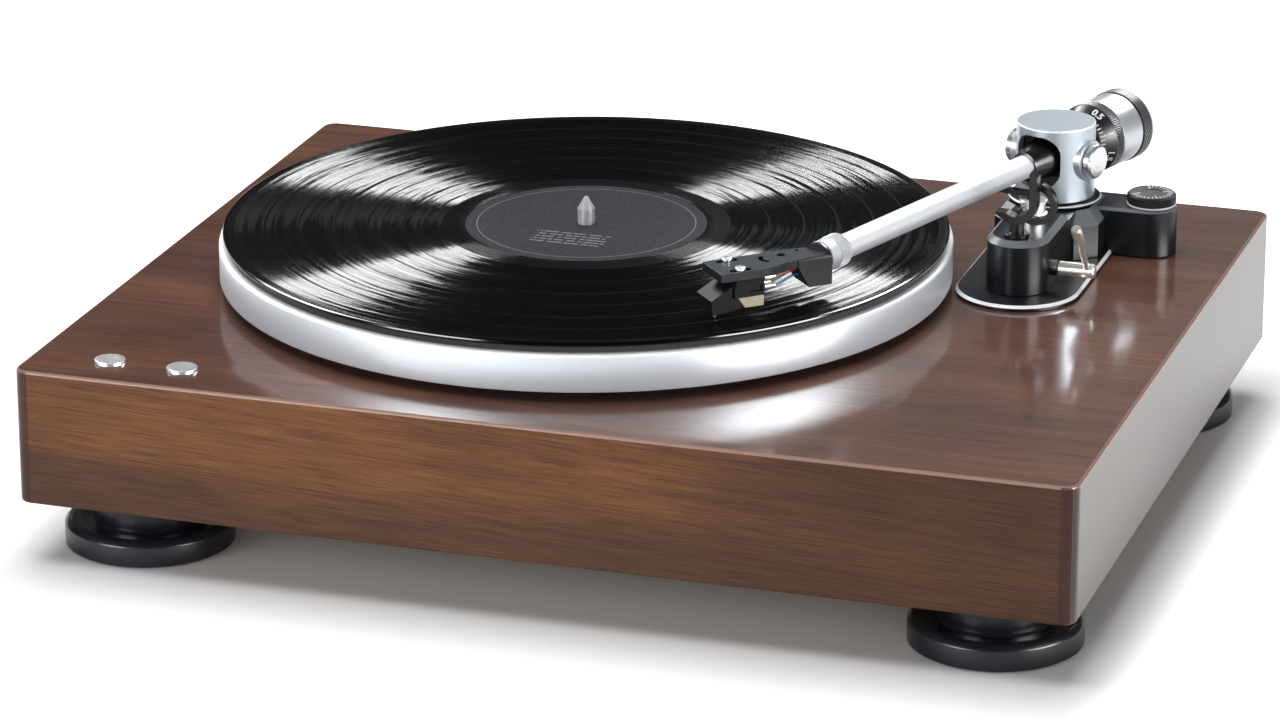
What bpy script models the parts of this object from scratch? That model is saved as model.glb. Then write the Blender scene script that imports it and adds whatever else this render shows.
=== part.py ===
"""Semi-automatic belt-drive turntable: walnut plinth, cast platter with a record, and a gimballed
straight tonearm with its cueing lift, arm rest, counterweight and anti-skate dial.

Metres, +Z up, +X to the right seen from the front, +Y to the back. The origin is on the floor under
the middle of the plinth. The tonearm is at rest with its stylus in the outer groove of the record.
"""

import math

import bmesh
import bpy
from mathutils import Matrix, Vector

# Fits and mesh steps
SEAT_GAP = 0.0003
MERGE_DISTANCE = 0.00001
CUT_OVERRUN = 0.002
UNION_OVERLAP = 0.0006
SMOOTH_ANGLE = math.radians(34)
LARGE_STEPS = 44
MEDIUM_STEPS = 24
SMALL_STEPS = 16
FINE_STEPS = 10
CORNER_STEPS = 4

# Plinth
PLINTH_WIDTH = 0.435
PLINTH_DEPTH = 0.352
PLINTH_HEIGHT = 0.0564
PLINTH_CORNER_RADIUS = 0.006
PLINTH_EDGE_ROUND = 0.0012
PLINTH_WALL = 0.018
PLINTH_DECK_THICKNESS = 0.012
BOARD_THICKNESS = 0.006

# Feet
FOOT_INSET_X = 0.0404
FOOT_INSET_Y = 0.0406
FOOT_RADIUS = 0.0345
FOOT_DISC_HEIGHT = 0.0113
FOOT_NECK_RADIUS = 0.022
FOOT_NECK_HEIGHT = 0.0143
FOOT_RIM_BEVEL = 0.0022
FOOT_RIM_WIDTH = 0.0035
FOOT_RECESS_DEPTH = 0.0012

# Platter, mat, record and spindle
PLATTER_X = -0.0354
PLATTER_Y = 0.0015
PLATTER_RADIUS = 0.1524
PLATTER_HEIGHT = 0.0156
PLATTER_CLEARANCE = 0.004
PLATTER_DECK = 0.0045
PLATTER_SKIRT = 0.0058
PLATTER_EDGE = 0.0009
BELT_RING_RADIUS = 0.066
BELT_RING_WALL = 0.005
HUB_RADIUS = 0.014
MAT_RADIUS = 0.1492
MAT_THICKNESS = 0.0023
RECORD_RADIUS = 0.1508
RECORD_THICKNESS = 0.0018
RECORD_LAND_RADIUS = 0.1468
RECORD_GROOVE_INNER = 0.0575
RECORD_GROOVE_DEPTH = 0.00025
LABEL_RADIUS = 0.0502
LABEL_THICKNESS = 0.0002
SPINDLE_RADIUS = 0.0036
SPINDLE_RISE = 0.0066
SPINDLE_CONE = 0.005
SPINDLE_TIP_RADIUS = 0.0007
SPINDLE_FLANGE_RADIUS = 0.0125
SPINDLE_FLANGE_THICKNESS = 0.0022
SHAFT_RADIUS = 0.004
SHAFT_LENGTH = 0.042
BUSH_WALL = 0.005
BUSH_FLANGE_RADIUS = 0.017
BUSH_FLANGE_THICKNESS = 0.0014
BUSH_FLOOR = 0.0024

# Motor and belt
MOTOR_DISTANCE = 0.112
MOTOR_BEARING_ANGLE = math.radians(150)
MOTOR_RADIUS = 0.020
MOTOR_HEIGHT = 0.024
MOTOR_BRACKET_LENGTH = 0.062
MOTOR_BRACKET_WIDTH = 0.030
MOTOR_BRACKET_THICKNESS = 0.002
PULLEY_RADIUS = 0.007
PULLEY_FLANGE = 0.0014
PULLEY_SHAFT_RADIUS = 0.0011
BELT_WIDTH = 0.004
BELT_THICKNESS = 0.0007
BELT_LEVEL = 0.0905

# Push buttons, their places measured from the plinth's left and front edges
BUTTON_INSETS = (0.0335, 0.0645)
BUTTON_FRONT_INSET = 0.0214
BUTTON_RADIUS = 0.0063
BUTTON_RISE = 0.0025
BUTTON_DEPTH = 0.0085
BUTTON_STEM_RADIUS = 0.0024
BUTTON_STEM_LENGTH = 0.006
BUTTON_TRAVEL = 0.0012
SWITCH_SIZE = (0.006, 0.006, 0.0034)
BOARD_SHEET = 0.0016
STANDOFF_RADIUS = 0.0025

# Connectors in a window through the back of the plinth, and the control board behind them
CONNECTOR_INSET = 0.1195
CONNECTOR_DROP = 0.016
RECESS_WIDTH = 0.104
RECESS_HEIGHT = 0.030
RECESS_CORNER = 0.003
PANEL_THICKNESS = 0.0016
PANEL_LAP = 0.006
CONTROL_BOARD_WIDTH = 0.090
CONTROL_BOARD_DEPTH = 0.045
CONTROL_BOARD_DROP = 0.0075
CONTROL_BOARD_CLEARANCE = 0.0018
CONTROL_BOARD_SETBACK = 0.007
CHIP_HEIGHT = 0.0032
CAPACITOR_RADIUS = 0.005
CAPACITOR_HEIGHT = 0.010
JACK_SPACING = 0.016
JACK_RADIUS = 0.0041
JACK_FLANGE_RADIUS = 0.0054
JACK_FLANGE_THICKNESS = 0.0012
JACK_LENGTH = 0.0085
JACK_BORE_RADIUS = 0.0016
JACK_TAIL_RADIUS = 0.003
JACK_TAIL_LENGTH = 0.006
INLET_BORE_RADIUS = 0.0028
INLET_PIN_RADIUS = 0.001
INLET_OFFSET = 0.040
GROUND_STUD_RADIUS = 0.0016
GROUND_STUD_LENGTH = 0.0082
GROUND_NUT_RADIUS = 0.0046
GROUND_NUT_LENGTH = 0.005
GROUND_RIBS = 8

# Tonearm geometry
PIVOT_CLEARANCE = 0.04878
PIVOT_BEARING_ANGLE = math.radians(29.151)
ARM_ABOVE_RECORD = 0.0176
ARM_YAW = math.radians(19)
HEAD_BEND_DISTANCE = 0.1814
HEAD_REACH = 0.0318
HEAD_OFFSET_ANGLE = math.radians(29)
TUBE_RADIUS = 0.005
TUBE_WALL = 0.001
TUBE_START = 0.0033
TUBE_SETBACK = 0.0088

# Arm base
BASE_HALF_WIDTH = 0.0259
BASE_FRONT = 0.061
BASE_REAR = 0.030
BASE_THICKNESS = 0.0022
BASE_EDGE = 0.0009
BASE_CORNER = 0.008
LOBE_HALF_WIDTH = 0.0131
LOBE_FRONT = 0.0615
LOBE_TOP = 0.1078
LOBE_CHAMFER = 0.0024
LOBE_STEP_RADIUS = 0.033
BODY_HALF_WIDTH = 0.0224
BODY_CORNER_CUT = 0.0084
BODY_SHOULDER = 0.0985
BODY_TOP = 0.1045
BODY_TAPER = 0.0047
CAST_WALL = 0.0035
RIGGER_X = 0.0400
RIGGER_Y = 0.0078
RIGGER_RADIUS = 0.0109
RIGGER_TOP = 0.1030
RIGGER_DROP = 0.0007
RIGGER_CHAMFER = 0.0012
COLLAR_RADIUS = 0.0196
COLLAR_THICKNESS = 0.0014
COLLAR_CHAMFER = 0.0005

# Anti-skate knob
KNOB_RADIUS = 0.0104
KNOB_HEIGHT = 0.0042
KNOB_SKIRT = 0.0006
KNOB_RIBS = 15
KNOB_RIB_DEPTH = 0.0003
KNOB_SHAFT_RADIUS = 0.002
KNOB_SHAFT_LENGTH = 0.010

# Arm rest, its clip and the cueing lift
REST_X = -0.0001
REST_Y = -0.0652
REST_FLANGE_RADIUS = 0.0052
REST_FLANGE_THICKNESS = 0.0012
REST_POST_RADIUS = 0.003
CRADLE_CENTRE_HEIGHT = 0.1222
CRADLE_RADIUS = 0.0056
CRADLE_WALL = 0.0032
CRADLE_LENGTH = 0.0060
CRADLE_LIP_ANGLE = math.radians(226)
CRADLE_TIP_REACH = 0.0086
PRONG_TOP = 0.1362
PRONG_SLOPE = 0.0022
CLIP_OFFSET = (0.0067, -0.0014)
CLIP_OUTER_RADIUS = 0.0090
CLIP_INNER_RADIUS = 0.0062
CLIP_LENGTH = 0.004
CLIP_START_ANGLE = math.radians(-140)
CLIP_END_ANGLE = math.radians(74)
CLIP_HUB_RADIUS = 0.0022
LIFT_RADIUS = 0.0375
LIFT_BARREL_RADIUS = 0.006
LIFT_BARREL_HEIGHT = 0.0072
LIFT_PISTON_RADIUS = 0.0024
LIFT_BAR_THICKNESS = 0.0022
LIFT_BAR_WIDTH = 0.0032
LIFT_BAR_INNER_ANGLE = math.radians(48)
LIFT_BAR_OUTER_ANGLE = math.radians(3)
LIFT_FOOT_THICKNESS = 0.002
LIFT_FOOT_WIDTH = 0.005
LIFT_TRAVEL = 0.0019
CUE_Y = -0.0575
CUE_HEIGHT = 0.093
CUE_BOSS_RADIUS = 0.0034
CUE_BOSS_LENGTH = 0.0028
CUE_RADIUS = 0.003
CUE_LENGTH = 0.0155
CUE_AXLE_RADIUS = 0.0018
CUE_AXLE_LENGTH = 0.0200
CUE_CAM_RADIUS = 0.0036
CUE_CAM_WIDTH = 0.005
CUE_CAM_GAP = 0.0006
CUE_SWING = math.radians(80)
CUE_TILT = math.radians(42)
CUE_ROD_INSET = 0.0034
CUE_ROD_RADIUS = 0.0013
CUE_ROD_LENGTH = 0.0185
CUE_GRIP_RADIUS = 0.0022
CUE_GRIP_LENGTH = 0.0125

# Bearing housing and gimbal
HOUSING_RADIUS = 0.01665
HOUSING_WALL = 0.0028
HOUSING_LOW = 0.0174
HOUSING_HIGH = 0.0144
HOUSING_FLOOR = 0.0024
HOUSING_ROOF = 0.0024
HOUSING_EDGE = 0.0006
WINDOW_WIDTH = 0.0212
WINDOW_HEIGHT = 0.0226
WINDOW_CORNER = 0.0078
REAR_WINDOW_WIDTH = 0.0165
REAR_WINDOW_HEIGHT = 0.0170
REAR_WINDOW_CORNER = 0.006
BOSS_RADIUS = 0.00875
BOSS_REACH = 0.0176
CAP_RADIUS = 0.0073
CAP_HEIGHT = 0.0036
CAP_CHAMFER = 0.0011
CAP_DISH = 0.0003
CAP_SHANK_RADIUS = 0.0046
CAP_SHANK_LENGTH = 0.0075
CAP_SEAT_RADIUS = 0.0019
CAP_SEAT_DEPTH = 0.003
TRUNNION_RADIUS = 0.0015
TRUNNION_REACH = 0.0124
SLEEVE_RADIUS = 0.0082
SLEEVE_BACK = 0.012
SLEEVE_SHOULDER = 0.0125
SLEEVE_NOSE = 0.0245
SLEEVE_NOSE_RADIUS = 0.0061
SLEEVE_CHAMFER = 0.001
ARM_SHAFT_RADIUS = 0.004
ARM_SHAFT_HEAD_RADIUS = 0.007
ARM_SHAFT_HEAD = 0.002
ARM_SHAFT_BOTTOM = 0.054
VANE_RADIUS = 0.015
VANE_THICKNESS = 0.001
VANE_LEVEL = 0.0585
VANE_HALF_ANGLE = math.radians(50)
SENSOR_ARM = 0.003
SENSOR_DEPTH = 0.008
SENSOR_WIDTH = 0.007
SENSOR_GAP = 0.0012

# Counterweight and force dial, distances behind the pivot
STUB_RADIUS = 0.004
STUB_END = 0.051
STUB_START = 0.0027
INSERT_WALL = 0.0011
DIAL_FRONT = 0.0183
DIAL_FRONT_RADIUS = 0.0107
DIAL_SHOULDER = 0.0252
DIAL_SHOULDER_RADIUS = 0.0146
DIAL_BACK = 0.0305
WEIGHT_RADIUS = 0.01505
WEIGHT_NECK_RADIUS = 0.0078
WEIGHT_NECK_FRONT = 0.0225
WEIGHT_BACK = 0.0453
GRIP_RADIUS = 0.0156
GRIP_BACK = 0.053
GRIP_RIM = 0.0009
DIAL_RIBS = 18
GRIP_RIBS = 16
RIB_DEPTH = 0.0004

# Locking collar and headshell
LOCK_LENGTH = 0.0132
LOCK_KNURL_LENGTH = 0.0064
LOCK_RADIUS = 0.0066
LOCK_KNURL_RADIUS = 0.0069
LOCK_RIBS = 12
FLANGE_RADIUS = 0.0066
FLANGE_THICKNESS = 0.0014
FLANGE_EMBED = 0.0008
PLUG_RADIUS = 0.0036
PLUG_LENGTH = 0.010
HEAD_TOP = 0.0034
HEAD_THICKNESS = 0.0035
HEAD_FRONT = 0.0094
HEAD_HALF_WIDTH = 0.009
HEAD_SHIFT = -0.0006
HEAD_WAIST_START = 0.0095
HEAD_WAIST_MIDDLE = 0.0140
HEAD_WAIST_END = 0.0207
HEAD_NARROW = 0.0049
HEAD_LEFT_REAR = 0.0101
HEAD_WAIST_WIDTH_SHARE = 0.9
BLOCK_DROP = 0.0086
BLOCK_FRONT = 0.0262
BLOCK_SLANT = 0.0047
SLOT_SPACING = 0.0127
SLOT_LENGTH = 0.0095
SLOT_WIDTH = 0.0029
SLOT_END_SHARE = 0.49
HEAD_HOLE_RADIUS = 0.0019
HEAD_PIN_RADIUS = 0.0010
HEAD_PIN_PLACE_SHARE = 0.75
HEAD_ARC_RADIUS = 0.0036
HEAD_ARC_WIDTH = 0.0020
HEAD_ARC_START = math.radians(207)
HEAD_ARC_END = math.radians(333)

# Cartridge, distances along the headshell from the screws
CARTRIDGE_HALF_WIDTH = 0.0078
CARTRIDGE_FRONT = 0.0030
CARTRIDGE_BACK = 0.0100
CARTRIDGE_EAR_FRONT = 0.0026
CARTRIDGE_EAR_HALF_WIDTH = 0.0086
CARTRIDGE_EAR_HEIGHT = 0.0028
CARTRIDGE_SPLIT = 0.0111
SHOE_FRONT_TOP = 0.0012
SHOE_FRONT_LOW = -0.0018
SHOE_DROP = 0.0044
SHOE_HALF_WIDTH = 0.0072
STYLUS_BLOCK_FRONT = 0.0128
STYLUS_BLOCK_NOSE = 0.0124
STYLUS_BLOCK_HALF_WIDTH = 0.0070
STYLUS_BLOCK_FLOOR = 0.0032
STYLUS_RELIEF_SHARE = 0.55
VISOR_BACK = 0.0036
VISOR_RISE = 0.0052
STYLUS_REACH = 0.0083
CANTILEVER_RADIUS = 0.00035
CANTILEVER_BACK = 0.0020
DIAMOND_TIP_RADIUS = 0.00012
DIAMOND_RADIUS = 0.00028
DIAMOND_LENGTH = 0.00084
HEAD_SCREW_RADIUS = 0.0021
HEAD_SCREW_HEIGHT = 0.0011
HEAD_SCREW_SHANK = 0.00125
HEAD_SCREW_LENGTH = 0.0062
HEAD_SCREW_SLOT = 0.0006
PIN_RADIUS = 0.0005
PIN_LENGTH = 0.0022
PIN_SPACING = 0.0045
PIN_ROWS = (0.0022, 0.0059)
LEAD_RADIUS = 0.0005
LEAD_CLIP_RADIUS = 0.0009
LEAD_CLIP_LENGTH = 0.0042
LEAD_RISE_SHARES = (0.62, 0.35)
LEAD_STEPS = 5

# Colours as they look in soft light
FINISHES = {
    "walnut": ((0.23, 0.09, 0.035), 0.22, 0.0),
    "fibreboard": ((0.30, 0.20, 0.12), 0.8, 0.0),
    "satin_aluminium": ((0.72, 0.73, 0.74), 0.32, 1.0),
    "polished_metal": ((0.82, 0.83, 0.84), 0.12, 1.0),
    "black_metal": ((0.022, 0.023, 0.027), 0.38, 0.5),
    "black_plastic": ((0.016, 0.016, 0.018), 0.45, 0.0),
    "grey_alloy": ((0.075, 0.082, 0.088), 0.42, 0.4),
    "rubber": ((0.018, 0.019, 0.024), 0.7, 0.0),
    "vinyl": ((0.008, 0.008, 0.009), 0.18, 0.0),
    "felt": ((0.02, 0.02, 0.02), 0.95, 0.0),
    "label_paper": ((0.05, 0.05, 0.052), 0.6, 0.0),
    "brass": ((0.75, 0.55, 0.25), 0.3, 1.0),
    "pale_gold": ((0.80, 0.72, 0.52), 0.35, 0.8),
    "circuit_board": ((0.02, 0.13, 0.06), 0.5, 0.0),
    "white_lead": ((0.85, 0.85, 0.83), 0.5, 0.0),
    "red_lead": ((0.6, 0.05, 0.04), 0.5, 0.0),
    "green_lead": ((0.04, 0.3, 0.12), 0.5, 0.0),
    "blue_lead": ((0.05, 0.2, 0.6), 0.5, 0.0),
}

# Levels and places worked out from the sizes above
PLINTH_BOTTOM = FOOT_DISC_HEIGHT + FOOT_NECK_HEIGHT
PLINTH_TOP = PLINTH_BOTTOM + PLINTH_HEIGHT
BOARD_TOP = PLINTH_BOTTOM + BOARD_THICKNESS
CAVITY_CEILING = PLINTH_TOP - PLINTH_DECK_THICKNESS
BUTTON_XS = [inset - PLINTH_WIDTH / 2 for inset in BUTTON_INSETS]
BUTTON_Y = BUTTON_FRONT_INSET - PLINTH_DEPTH / 2
PLATTER_BOTTOM = PLINTH_TOP + PLATTER_CLEARANCE
PLATTER_TOP = PLATTER_BOTTOM + PLATTER_HEIGHT
MAT_BOTTOM = PLATTER_TOP + SEAT_GAP
RECORD_BOTTOM = MAT_BOTTOM + MAT_THICKNESS + SEAT_GAP
RECORD_TOP = RECORD_BOTTOM + RECORD_THICKNESS
BUSH_TOP = PLINTH_TOP + SEAT_GAP + BUSH_FLANGE_THICKNESS
FLANGE_BOTTOM = BUSH_TOP + SEAT_GAP
FLANGE_TOP = FLANGE_BOTTOM + SPINDLE_FLANGE_THICKNESS
HUB_BOTTOM = FLANGE_TOP + SEAT_GAP
SHAFT_BOTTOM = FLANGE_BOTTOM - SHAFT_LENGTH
PIVOT_X = PLATTER_X + (PLATTER_RADIUS + PIVOT_CLEARANCE) * math.cos(PIVOT_BEARING_ANGLE)
PIVOT_Y = PLATTER_Y + (PLATTER_RADIUS + PIVOT_CLEARANCE) * math.sin(PIVOT_BEARING_ANGLE)
MOTOR_X = PLATTER_X + MOTOR_DISTANCE * math.cos(MOTOR_BEARING_ANGLE)
MOTOR_Y = PLATTER_Y + MOTOR_DISTANCE * math.sin(MOTOR_BEARING_ANGLE)
BRACKET_TOP = CAVITY_CEILING - SEAT_GAP
MOTOR_TOP = BRACKET_TOP - MOTOR_BRACKET_THICKNESS - SEAT_GAP
ARM_HEIGHT = RECORD_TOP + ARM_ABOVE_RECORD
BASE_BOTTOM = PLINTH_TOP + SEAT_GAP
BASE_TOP = BASE_BOTTOM + BASE_THICKNESS
BLOCK_BOTTOM = BASE_TOP + SEAT_GAP
COLLAR_BOTTOM = BODY_TOP + SEAT_GAP
BACK_FACE = PLINTH_DEPTH / 2
PANEL_FRONT = BACK_FACE - PLINTH_WALL - SEAT_GAP
PANEL_BACK = PANEL_FRONT - PANEL_THICKNESS
CONNECTOR_X = PLINTH_WIDTH / 2 - CONNECTOR_INSET
CONNECTOR_LEVEL = CAVITY_CEILING - CONNECTOR_DROP
TUBE_END = HEAD_BEND_DISTANCE - TUBE_SETBACK
LOCK_START = TUBE_END - LOCK_LENGTH
LOCK_KNURL_END = LOCK_START + LOCK_KNURL_LENGTH
CRADLE_BOTTOM = CRADLE_CENTRE_HEIGHT - CRADLE_RADIUS - CRADLE_WALL
LIFT_BAR_TOP = ARM_HEIGHT - TUBE_RADIUS - SEAT_GAP
LIFT_BAR_BOTTOM = LIFT_BAR_TOP - LIFT_BAR_THICKNESS
LIFT_FOOT_BOTTOM = CUE_HEIGHT + CUE_CAM_RADIUS + CUE_CAM_GAP
CUE_WALL = LOBE_HALF_WIDTH
CUE_AXLE_FRONT = CUE_WALL + CUE_BOSS_LENGTH + SEAT_GAP
HEAD_BOTTOM = HEAD_TOP - HEAD_THICKNESS
CARTRIDGE_TOP = HEAD_BOTTOM - SEAT_GAP
SHOE_TOP = HEAD_TOP - CARTRIDGE_SPLIT - SEAT_GAP
STYLUS_TIP = SEAT_GAP - ARM_ABOVE_RECORD

# Turns a shape whose height runs up into one that runs forward along the arm, or to the right
FORWARD = Matrix.Rotation(math.radians(90), 4, "X")
BACKWARD = Matrix.Rotation(math.radians(-90), 4, "X")
RIGHTWARD = Matrix.Rotation(math.radians(90), 4, "Y")
LEFTWARD = Matrix.Rotation(math.radians(-90), 4, "Y")


def clear_scene():
    """Empties the file of its starting objects."""
    for thing in list(bpy.data.objects):
        bpy.data.objects.remove(thing, do_unlink=True)


def finish(name):
    """Returns the material of this name, made on first use."""
    found = bpy.data.materials.get(name)
    if found:
        return found
    colour, roughness, metallic = FINISHES[name]
    made = bpy.data.materials.new(name)
    made.use_nodes = True
    shader = made.node_tree.nodes["Principled BSDF"]
    shader.inputs["Base Color"].default_value = (*colour, 1.0)
    shader.inputs["Roughness"].default_value = roughness
    shader.inputs["Metallic"].default_value = metallic
    return made


def tidy(shape):
    """Merges doubled points and points every face outwards."""
    bmesh.ops.remove_doubles(shape, verts=shape.verts, dist=MERGE_DISTANCE)
    bmesh.ops.recalc_face_normals(shape, faces=shape.faces)
    return shape


def turned(profile, steps, closed=False):
    """Spins a profile of (radius, height) points about the upright axis."""
    shape = bmesh.new()
    points = [shape.verts.new((radius, 0, height)) for radius, height in profile]
    lines = [shape.edges.new(pair) for pair in zip(points, points[1:])]
    if closed:
        lines.append(shape.edges.new((points[-1], points[0])))
    bmesh.ops.spin(shape, geom=points + lines, cent=(0, 0, 0), axis=(0, 0, 1),
                   angle=2 * math.pi, steps=steps, use_merge=True)
    return tidy(shape)


def prism(outline, low, high):
    """Raises a flat outline from one height to another."""
    shape = bmesh.new()
    base = shape.faces.new([shape.verts.new((x, y, low)) for x, y in outline])
    grown = bmesh.ops.extrude_face_region(shape, geom=[base])
    lifted = [item for item in grown["geom"] if isinstance(item, bmesh.types.BMVert)]
    bmesh.ops.translate(shape, verts=lifted, vec=(0, 0, high - low))
    return tidy(shape)


def box(low, high):
    """A plain block between two corners."""
    outline = [(low[0], low[1]), (high[0], low[1]), (high[0], high[1]), (low[0], high[1])]
    return prism(outline, low[2], high[2])


def rod(radius, low, high, steps, x=0.0, y=0.0):
    """An upright round bar at a place."""
    shape = bmesh.new()
    bmesh.ops.create_cone(shape, cap_ends=True, segments=steps, radius1=radius, radius2=radius,
                          depth=high - low, matrix=Matrix.Translation((x, y, (low + high) / 2)))
    return shape


def placed(shape, matrix):
    """Moves a shape's points by a matrix."""
    bmesh.ops.transform(shape, matrix=matrix, verts=shape.verts)
    return shape


def gathered(*shapes):
    """Puts several shapes that don't meet into one, for cutting or joining together."""
    whole = bmesh.new()
    for shape in shapes:
        carrier = bpy.data.meshes.new("carrier")
        shape.to_mesh(carrier)
        shape.free()
        whole.from_mesh(carrier)
        bpy.data.meshes.remove(carrier)
    return whole


def arc(centre, radius, start, end, steps):
    """Points along an arc, both ends included."""
    turns = [start + (end - start) * step / steps for step in range(steps + 1)]
    return [(centre[0] + radius * math.cos(turn), centre[1] + radius * math.sin(turn)) for turn in turns]


def rounded(corners, radii):
    """Rounds each corner of an outline by its own radius; zero leaves it sharp."""
    outline = []
    for index, corner in enumerate(corners):
        here = Vector(corner)
        before = (Vector(corners[index - 1]) - here).normalized()
        after = (Vector(corners[(index + 1) % len(corners)]) - here).normalized()
        radius = radii[index]
        if not radius:
            outline.append(tuple(here))
            continue
        half = before.angle(after) / 2
        middle = here + (before + after).normalized() * (radius / math.sin(half))
        first = here + before * (radius / math.tan(half))
        last = here + after * (radius / math.tan(half))
        start = math.atan2(first.y - middle.y, first.x - middle.x)
        sweep = math.atan2(last.y - middle.y, last.x - middle.x) - start
        sweep = (sweep + math.pi) % (2 * math.pi) - math.pi
        outline += arc(middle, radius, start, start + sweep, CORNER_STEPS)
    return outline


def rectangle(width, depth, radius=0.0, x=0.0, y=0.0):
    """A rectangle about a point, with its corners rounded if a radius is given."""
    right, back = width / 2, depth / 2
    corners = [(x - right, y - back), (x + right, y - back), (x + right, y + back), (x - right, y + back)]
    return rounded(corners, [radius] * 4)


def bevel_rim(shape, height, width, segments=1):
    """Bevels the edges that lie round the flat face at one height."""
    def at_height(point):
        return abs(point.co.z - height) < MERGE_DISTANCE
    rim = [edge for edge in shape.edges
           if all(at_height(end) for end in edge.verts)
           and not all(all(at_height(point) for point in face.verts) for face in edge.link_faces)]
    bmesh.ops.bevel(shape, geom=rim, offset=width, segments=segments, affect="EDGES", profile=0.5,
                    material=-1)
    return tidy(shape)


def rib(shape, ribs, low, high, outside, depth):
    """Presses every second column of points inwards, which leaves upright ribs round a turned band."""
    column = math.pi / ribs
    for point in shape.verts:
        radius = math.hypot(point.co.x, point.co.y)
        in_band = low - MERGE_DISTANCE < point.co.z < high + MERGE_DISTANCE
        if in_band and radius > outside and round(math.atan2(point.co.y, point.co.x) / column) % 2:
            point.co.x *= (radius - depth) / radius
            point.co.y *= (radius - depth) / radius
    return shape


def piece(name, shape, finish_name, parent=None, place=(0, 0, 0)):
    """Makes a named object from a shape."""
    mesh = bpy.data.meshes.new(name)
    shape.to_mesh(mesh)
    shape.free()
    mesh.shade_smooth()
    mesh.set_sharp_from_angle(angle=SMOOTH_ANGLE)
    mesh.materials.append(finish(finish_name))
    made = bpy.data.objects.new(name, mesh)
    bpy.context.scene.collection.objects.link(made)
    made.parent = parent
    made.location = place
    return made


def combine(target, shape, operation, parent=None):
    """Cuts a shape out of a piece, or joins it on, with a Boolean modifier and a hidden guide."""
    label = f"{target.name}_{operation.lower()}_{len(target.modifiers)}"
    guide = piece(label, shape, target.data.materials[0].name, parent or target)
    guide.hide_render = True
    guide.display_type = "WIRE"
    step = target.modifiers.new(label, "BOOLEAN")
    step.operation = operation
    step.solver = "EXACT"
    step.object = guide


def cut(target, *shapes):
    """Cuts shapes that don't meet each other out of a piece."""
    combine(target, gathered(*shapes), "DIFFERENCE")


def join(target, *shapes):
    """Joins shapes that don't meet each other onto a piece."""
    combine(target, gathered(*shapes), "UNION")


def axis_point(name, place, parent=None, turn=0.0):
    """An empty that stands on a joint's axis."""
    made = bpy.data.objects.new(name, None)
    bpy.context.scene.collection.objects.link(made)
    made.parent = parent
    made.location = place
    made.rotation_euler = (0, 0, turn)
    return made


def make_plinth():
    """Veneered box with an open bottom, routed for the bearing, motor, arm, buttons and connectors."""
    outline = rectangle(PLINTH_WIDTH, PLINTH_DEPTH, PLINTH_CORNER_RADIUS)
    shape = prism(outline, PLINTH_BOTTOM, PLINTH_TOP)
    bevel_rim(shape, PLINTH_TOP, PLINTH_EDGE_ROUND, 2)
    bevel_rim(shape, PLINTH_BOTTOM, PLINTH_EDGE_ROUND, 2)
    plinth = piece("plinth", shape, "walnut")
    inside = rectangle(PLINTH_WIDTH - 2 * PLINTH_WALL, PLINTH_DEPTH - 2 * PLINTH_WALL)
    cut(plinth, prism(inside, PLINTH_BOTTOM - CUT_OVERRUN, CAVITY_CEILING))
    low, high = CAVITY_CEILING - CUT_OVERRUN, PLINTH_TOP + CUT_OVERRUN
    bush_bore = SHAFT_RADIUS + SEAT_GAP + BUSH_WALL + SEAT_GAP
    holes = [
        rod(bush_bore, low, high, SMALL_STEPS, PLATTER_X, PLATTER_Y),
        rod(PULLEY_RADIUS + CUT_OVERRUN, low, high, SMALL_STEPS, MOTOR_X, MOTOR_Y),
        rod(ARM_SHAFT_HEAD_RADIUS + CUT_OVERRUN, low, high, SMALL_STEPS, PIVOT_X, PIVOT_Y),
    ]
    for button_x in BUTTON_XS:
        holes.append(rod(BUTTON_RADIUS + SEAT_GAP, low, high, SMALL_STEPS, button_x, BUTTON_Y))
    cut(plinth, *holes)
    window = rectangle(RECESS_WIDTH, RECESS_HEIGHT, RECESS_CORNER, CONNECTOR_X, CONNECTOR_LEVEL)
    routed = prism(window, -BACK_FACE - CUT_OVERRUN, PLINTH_WALL + CUT_OVERRUN - BACK_FACE)
    cut(plinth, placed(routed, FORWARD))
    return plinth


def make_bottom_board():
    """Board let into the bottom of the plinth, which carries the feet."""
    width = PLINTH_WIDTH - 2 * (PLINTH_WALL + SEAT_GAP)
    depth = PLINTH_DEPTH - 2 * (PLINTH_WALL + SEAT_GAP)
    return piece("bottom_board", prism(rectangle(width, depth), PLINTH_BOTTOM, BOARD_TOP), "fibreboard")


def make_foot(name, x, y):
    """Wide turned foot: a disc with a bevelled rim and a dished top, on a narrower neck."""
    rim = FOOT_RADIUS - FOOT_RIM_BEVEL
    recess = FOOT_DISC_HEIGHT - FOOT_RECESS_DEPTH
    profile = [
        (0, 0), (FOOT_RADIUS - PLINTH_EDGE_ROUND, 0), (FOOT_RADIUS, PLINTH_EDGE_ROUND),
        (FOOT_RADIUS, FOOT_DISC_HEIGHT - FOOT_RIM_BEVEL), (rim, FOOT_DISC_HEIGHT),
        (rim - FOOT_RIM_WIDTH, FOOT_DISC_HEIGHT), (rim - FOOT_RIM_WIDTH - FOOT_RECESS_DEPTH, recess),
        (FOOT_NECK_RADIUS, recess), (FOOT_NECK_RADIUS, PLINTH_BOTTOM - SEAT_GAP),
        (0, PLINTH_BOTTOM - SEAT_GAP),
    ]
    return piece(name, turned(profile, SMALL_STEPS), "rubber", place=(x, y, 0))


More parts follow.
